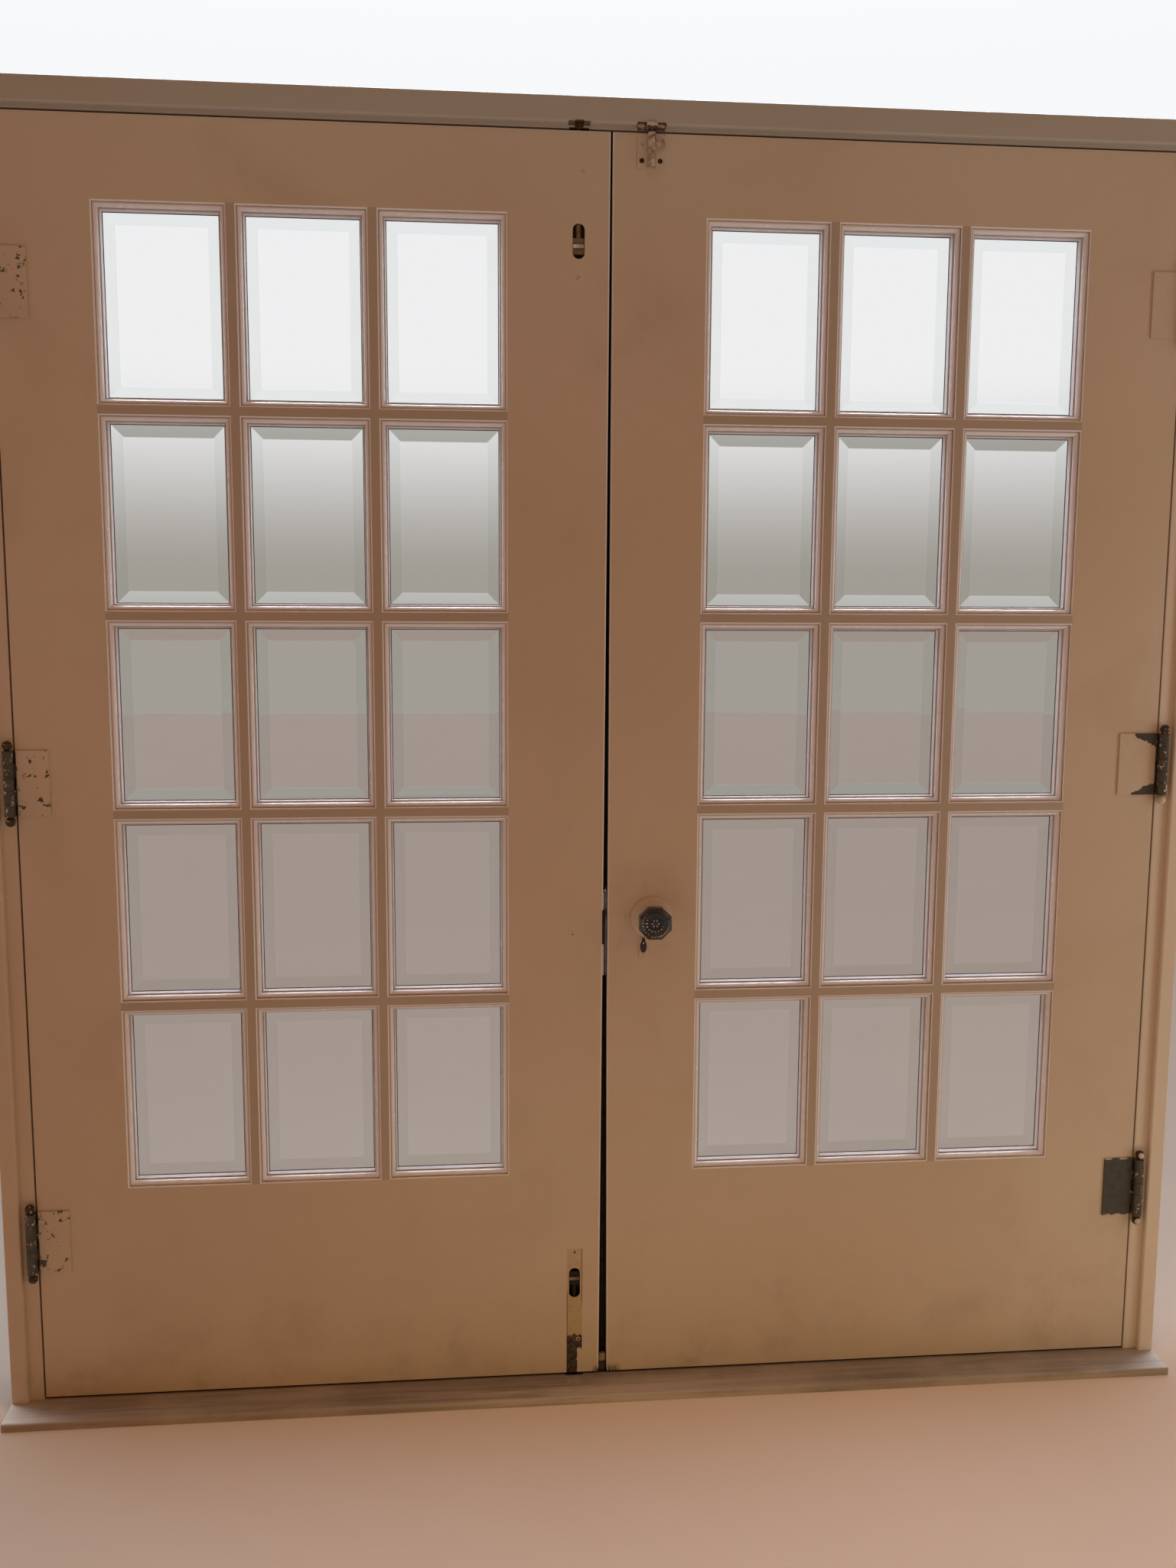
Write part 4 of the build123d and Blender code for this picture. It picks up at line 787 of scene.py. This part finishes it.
def ring_faces(shape, near_ring, far_ring):
    """Joins two rings of points with faces."""
    count = len(near_ring)
    for i in range(count):
        after = (i + 1) % count
        shape.faces.new((near_ring[i], near_ring[after], far_ring[after], far_ring[i]))


def closed_skin(shape, rings):
    """Joins rings one after another, and closes both ends."""
    for near, far in zip(rings, rings[1:]):
        ring_faces(shape, near, far)
    shape.faces.new(rings[0])
    shape.faces.new(rings[-1])


def face_ring(shape, x, z, reach_x, reach_z, depths):
    """An oval ring of points about a place on the doors' face, one for each depth."""
    ring = []
    for step, depth in enumerate(depths):
        angle = math.tau * step / len(depths)
        at = (x + reach_x * math.cos(angle), depth, z + reach_z * math.sin(angle))
        ring.append(shape.verts.new(at))
    return ring


def pane_boxes(side):
    """The sight openings of a leaf's panes, from its glass nodes."""
    found = []
    for row in range(1, 6):
        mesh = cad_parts[f"{side}_glass_row_{row}"].data
        xs = sorted(v.co.x for v in mesh.vertices)
        zs = [v.co.z for v in mesh.vertices]
        edges = [xs[0]]
        for left, right in zip(xs, xs[1:]):
            is_bar = least_pane_gap < right - left < most_pane_gap
            if is_bar and left > xs[0] + least_pane and right < xs[-1] - least_pane:
                edges += [left, right]
        edges.append(xs[-1])
        for left, right in zip(edges[0::2], edges[1::2]):
            found.append((left, right, min(zs), max(zs)))
    return found


def shade_bead(side, material):
    """A thin dark bead where each moulding meets the glass on the room side: painted shadow along the
    join.
    """
    inset = moulding_width - glass_overlap - bead_overlap

    def build(shape):
        for left, right, low, top in pane_boxes(side):
            rings = []
            for step, rise in ((0.0, 0.0), (0.0, bead_height), (bead_width, 0.0)):
                a, b = left + inset + step, right - inset - step
                c, d = low + inset + step, top - inset - step
                y = moulding_depth - rise - bead_lift
                corners = ((a, y, c), (b, y, c), (b, y, d), (a, y, d))
                rings.append([shape.verts.new(corner) for corner in corners])
            for near, far in zip(rings, rings[1:] + rings[:1]):
                ring_faces(shape, near, far)

    new_piece(side + "_pane_shade_bead", build, side + "_leaf", "putty", material)


def screw_heads(name, body, material, places, radius):
    """Slotted, slightly domed screw heads facing the room, each turned its own way."""
    profile = (
        (1.0, -screw_root), (1.0, 0.0), (0.8, 0.7 * screw_dome), (0.5, 0.93 * screw_dome),
        (0.2, screw_dome),
    )

    def build(shape):
        for number, (x, y, z) in enumerate(places):
            turn = screw_turn + screw_turn_step * number
            rings = []
            for share, rise in profile:
                reach = radius * share
                depths = []
                for step in range(screw_points):
                    from_slot = abs(reach * math.sin(math.tau * step / screw_points - turn))
                    in_slot = rise > 0 and from_slot < slot_half
                    depths.append(y + slot_depth if in_slot else y - rise)
                rings.append(face_ring(shape, x, z, reach, reach, depths))
            closed_skin(shape, rings)

    shade_smooth(new_piece(name, build, body, "steel", material))


def lump(name, body, slot, material, centre, reach, seed, rough):
    """An uneven lump of filler: a squarish ellipsoid pushed in and out by seeded noise."""
    broad_seed = Vector((seed, 0.0, 0.0))
    small_seed = Vector((0.0, seed, 0.0))

    def build(shape):
        bmesh.ops.create_icosphere(shape, subdivisions=4, radius=1.0)
        for vert in shape.verts:
            broad = noise.noise(vert.co * 1.7 + broad_seed)
            push = broad + 0.5 * noise.noise(vert.co * 4.3 + small_seed)
            squared = Vector([math.copysign(abs(c) ** lump_squareness, c) for c in vert.co])
            squared *= (1.0 - rough) + rough * min(1.0, max(-1.0, push))
            vert.co = Vector([c + r * s for c, r, s in zip(centre, reach, squared)])

    shade_smooth(new_piece(name, build, body, slot, material))


def drop_eye(shape, x, z):
    """The eye that the drop hangs by: a ring of flattened wire round the pin."""
    tube = []
    for step in range(eye_points):
        angle = math.tau * step / eye_points
        out = Vector((math.cos(angle), 0.0, math.sin(angle)))
        ring = []
        for part in range(eye_wire_points):
            bend = math.tau * part / eye_wire_points
            at = Vector((x, eye_depth, z)) + out * (eye_radius + eye_wire * math.cos(bend))
            ring.append(shape.verts.new(at + Vector((0.0, eye_wire_depth * math.sin(bend), 0.0))))
        tube.append(ring)
    for near, far in zip(tube, tube[1:] + tube[:1]):
        ring_faces(shape, near, far)


def keyhole_drop():
    """The domed oval that hangs over the keyhole."""
    pin_x, pin_z = cover_pin
    dome = ((0.96, 0.0), (1.0, 0.25), (0.93, 0.6), (0.75, 0.85), (0.45, 0.97), (0.15, 1.0))

    def build(shape):
        rings = []
        for share, lift in dome:
            depths = [drop_back + (drop_front - drop_back) * lift] * drop_points
            reach = (drop_half_width * share, drop_half_height * share)
            rings.append(face_ring(shape, pin_x, pin_z - drop_hang, *reach, depths))
        closed_skin(shape, rings)
        drop_eye(shape, pin_x, pin_z)

    piece = new_piece("keyhole_drop", build, "keyhole_cover", "worn_iron", gloss_brown)
    shade_smooth(piece)
    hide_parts("keyhole_cover")


def knob_star():
    """The cut star at the back of the inside knob's glass, coloured with painted reflection."""
    # Radius, depth between the points and depth on them
    cuts = (
        (0.0222, -0.0368, -0.0376), (0.0140, -0.0385, -0.0415), (0.0066, -0.0390, -0.0435),
        (0.0020, -0.0425, -0.0430),
    )
    back = (0.0222, -0.0364, -0.0364)

    def build(shape):
        rings = []
        for radius, low, high in (back, *cuts):
            rings.append(face_ring(shape, *knob_place, radius, radius, (low, high) * star_points))
        closed_skin(shape, rings)

    new_piece("knob_star", build, "knob", "knob_glass", knob_star_reflection())


def meeting_lip():
    """A dark felt lip on the right leaf's meeting edge, in two lengths, that closes the gap; its
    near-black is painted shade.
    """
    front, back = 0.0262, 0.0298

    def edge(z):
        return right_edge_head + right_edge_reach * max(0.0, 1.0 - (z - leaf_foot) / right_edge_bend)

    def build(shape):
        for low, high in lip_lengths:
            rings = []
            for step in range(lip_steps + 1):
                z = low + (high - low) * step / lip_steps
                root = edge(z) + lip_root
                tip = edge(z) - lip_reach
                rounded = tip + lip_round_x
                outline = (
                    (root, front), (rounded, front), (tip, front + lip_round_y),
                    (tip, back - lip_round_y), (rounded, back), (root, back),
                )
                rings.append([shape.verts.new((x, y, z)) for x, y in outline])
            closed_skin(shape, rings)

    new_piece("meeting_lip", build, "right_leaf", "weathered_timber", strip_painted_shade)


def bolt_screws():
    """The heads of the screws in the flush bolts' plates and the barrel bolt's."""
    dark_screw = bare_metal("screw_dark", (0.03, 0.024, 0.018), (0.07, 0.045, 0.025), 0.3, (0.4, 0.6))
    upper_screw = ringed_screw("flush_screw_upper", foot_bolt_upper_screw, 0.0018)
    lower_screw = ringed_screw("flush_screw_lower", foot_bolt_lower_screw, 0.0021)
    screw_heads("flush_bolt_top_screw", "left_leaf", upper_screw, [foot_bolt_upper_screw], 0.0041)
    screw_heads("flush_bolt_foot_screw", "left_leaf", lower_screw, [foot_bolt_lower_screw], 0.0035)
    screw_heads("flush_bolt_head_screws", "left_leaf", painted_metal, head_bolt_screws, 0.0042)
    screw_heads("barrel_bolt_screws", "right_leaf", dark_screw, barrel_bolt_screws, 0.0037)


def fillers():
    """Putty and dirt at the foot of the meeting gap, and paint in the keyhole's lower end."""
    filler = bare_metal("gap_filler", (0.33, 0.26, 0.17), (0.17, 0.12, 0.07), 0.0, (0.6, 0.8))
    dirt = bare_metal("gap_dirt", (0.05, 0.037, 0.026), (0.015, 0.012, 0.009), 0.0, (0.8, 0.95))
    # Each lump: its middle, its half sizes, its seed and its roughness
    lump(
        "foot_filler", "left_leaf", "putty", filler,
        (-0.0022, 0.0080, 0.0400), (0.0070, 0.0060, 0.0085), 3.1, 0.12,
    )
    lump(
        "foot_dirt", "left_leaf", "weathered_timber", dirt,
        (-0.0028, 0.0110, 0.0240), (0.0082, 0.0100, 0.0098), 5.3, 0.1,
    )
    lump(
        "keyhole_filler", "right_leaf", "painted_timber", rose_paint,
        (cover_pin[0], -0.0002, 0.7410), (0.0026, 0.0011, 0.0052), 7.7, 0.08,
    )


def set_details():
    """Small pieces the solids leave out."""
    knob_star()
    keyhole_drop()
    meeting_lip()
    bolt_screws()
    fillers()
    # Near-black beads round the panes: painted shadow
    bead = bare_metal("pane_bead_shade", (0.055, 0.05, 0.055), (0.12, 0.10, 0.09), 0.0, (0.5, 0.8))
    for side in ("left", "right"):
        shade_bead(side, bead)


set_details()


# Colours of the world round the stage, linear
room_low = (0.345, 0.120, 0.025)
room_high = (0.32, 0.125, 0.028)
garden_low = (0.37, 0.36, 0.33)
garden_high = (0.93, 0.94, 0.96)
sky_high = (1.15, 1.17, 1.22)
side_high = (1.25, 1.22, 1.32)

# Half the side of the floor, in metres
floor_reach = 14.0

# Name, place, target, width and height, power, colour, what it lights, and the rays that meet it
matt = ("diffuse",)
shiny = ("glossy",)
seen = ("diffuse", "glossy", "transmission")
lights = (
    ("ceiling", (0.0, -0.75, 2.7), (0.0, 0.0, 2.0), (2.4, 0.4), 1.3, (0.0, 0.75, 1.0), "doors", matt),
    ("right_room", (1.55, -0.45, 1.0), (0.95, 0.0, 1.0), (0.3, 1.8), 2.7, (0.9, 1.0, 0.9), "doors", matt),
    ("low_room", (0.3, -0.6, 0.06), (0.25, 0.0, 0.12), (1.9, 0.2), 0.85, (0.95, 1.0, 0.62), "doors", matt),
    ("floor_lamp", (0.5, -1.2, 2.4), (0.5, -1.2, 0.0), (1.2, 1.2), 34.0, (1.0, 0.60, 0.36), "floor", matt),
    ("glint", (0.27, -2.0, 0.98), (0.06, 0.0, 0.77), (0.1, 0.5), 12.0, (1.0, 1.0, 1.0), "fittings", shiny),
    ("day_high", (0.0, 1.2, 3.3), (0.0, 0.0, 1.0), (7.0, 1.0), 300.0, (0.88, 0.92, 1.0), "doors", seen),
)


def add_light(name, place, target, size, power, colour, rays):
    """A soft light aimed at a place, met only by the kinds of ray that are named."""
    data = bpy.data.lights.new(name, "AREA")
    data.shape = "RECTANGLE"
    data.size, data.size_y = size
    data.energy = power
    data.color = colour
    light = bpy.data.objects.new(name, data)
    light.location = place
    light.rotation_euler = (Vector(target) - Vector(place)).to_track_quat("-Z", "Y").to_euler()
    light.visible_camera = False
    light.visible_diffuse = "diffuse" in rays
    light.visible_glossy = "glossy" in rays
    light.visible_transmission = "transmission" in rays
    bpy.context.scene.collection.objects.link(light)
    return light


def stage_floor():
    """The pale floor the sill rests on."""
    made = Surface("stage_floor")
    made.finish(made.mix(made.noise(3.0), (0.47, 0.435, 0.40), (0.50, 0.465, 0.43)), 0.8)
    made.shine(0.1)
    mesh = bpy.data.meshes.new("stage_floor")
    corners = [(x * floor_reach, y * floor_reach, 0) for x, y in ((-1, -1), (1, -1), (1, 1), (-1, 1))]
    mesh.from_pydata(corners, [], [(0, 1, 2, 3)])
    mesh.materials.append(made.material)
    floor = bpy.data.objects.new("stage_floor", mesh)
    bpy.context.scene.collection.objects.link(floor)


def studio_world():
    """Bright cool light from outside, dim warm light from the room."""
    world = bpy.data.worlds.new("studio")
    world.use_nodes = True
    made = Nodes(world.node_tree, "Generated")
    back = world.node_tree.nodes["Background"]
    room = made.mix(made.between(made.z, -0.1, 0.7), room_low, room_high)
    garden = made.mix(made.between(made.z, 0.01, 0.16), garden_low, garden_high)
    sky = made.mix(made.between(made.z, 0.32, 0.6), garden, sky_high)
    sky = made.mix(made.between(made.math("ABSOLUTE", made.x), 0.66, 0.86), sky, side_high)
    colour = made.mix(made.between(made.y, -0.12, 0.12), room, sky)
    made.value(back.inputs["Color"], colour)
    back.inputs["Strength"].default_value = 1.0
    bpy.context.scene.world = world


def light_groups():
    """The collections that tell each lamp what it lights."""
    fittings = (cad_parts["inside_glass_knob"].name, "keyhole_drop", "knob_star")
    groups = {}
    for kind, state, names in (
        ("doors", "EXCLUDE", ("stage_floor",)),
        ("floor", "INCLUDE", ("stage_floor",)),
        ("fittings", "INCLUDE", fittings),
    ):
        groups[kind] = bpy.data.collections.new("lit_" + kind)
        for name in names:
            groups[kind].objects.link(bpy.data.objects[name])
        for linked in groups[kind].collection_objects:
            linked.light_linking.link_state = state
    return groups


def set_camera():
    """The camera, where the photograph was taken from."""
    data = bpy.data.cameras.new("camera")
    data.sensor_fit = "VERTICAL"
    data.sensor_height = camera_sensor
    data.lens = camera_lens
    camera = bpy.data.objects.new("camera", data)
    turn = (
        Matrix.Rotation(camera_yaw, 4, "Z")
        @ Matrix.Rotation(math.pi / 2 + camera_pitch, 4, "X")
        @ Matrix.Rotation(camera_roll, 4, "Z")
    )
    camera.matrix_world = Matrix.Translation(camera_place) @ turn
    bpy.context.scene.collection.objects.link(camera)
    bpy.context.scene.camera = camera


def set_stage():
    """World, lights, floor and camera."""
    studio_world()
    stage_floor()
    groups = light_groups()
    for name, place, target, size, power, tint, lit, rays in lights:
        light = add_light(name, place, target, size, power, tint, rays)
        light.light_linking.receiver_collection = groups[lit]
    set_camera()
    bpy.context.scene.view_settings.view_transform = "Standard"


set_stage()

bpy.context.view_layer.update()
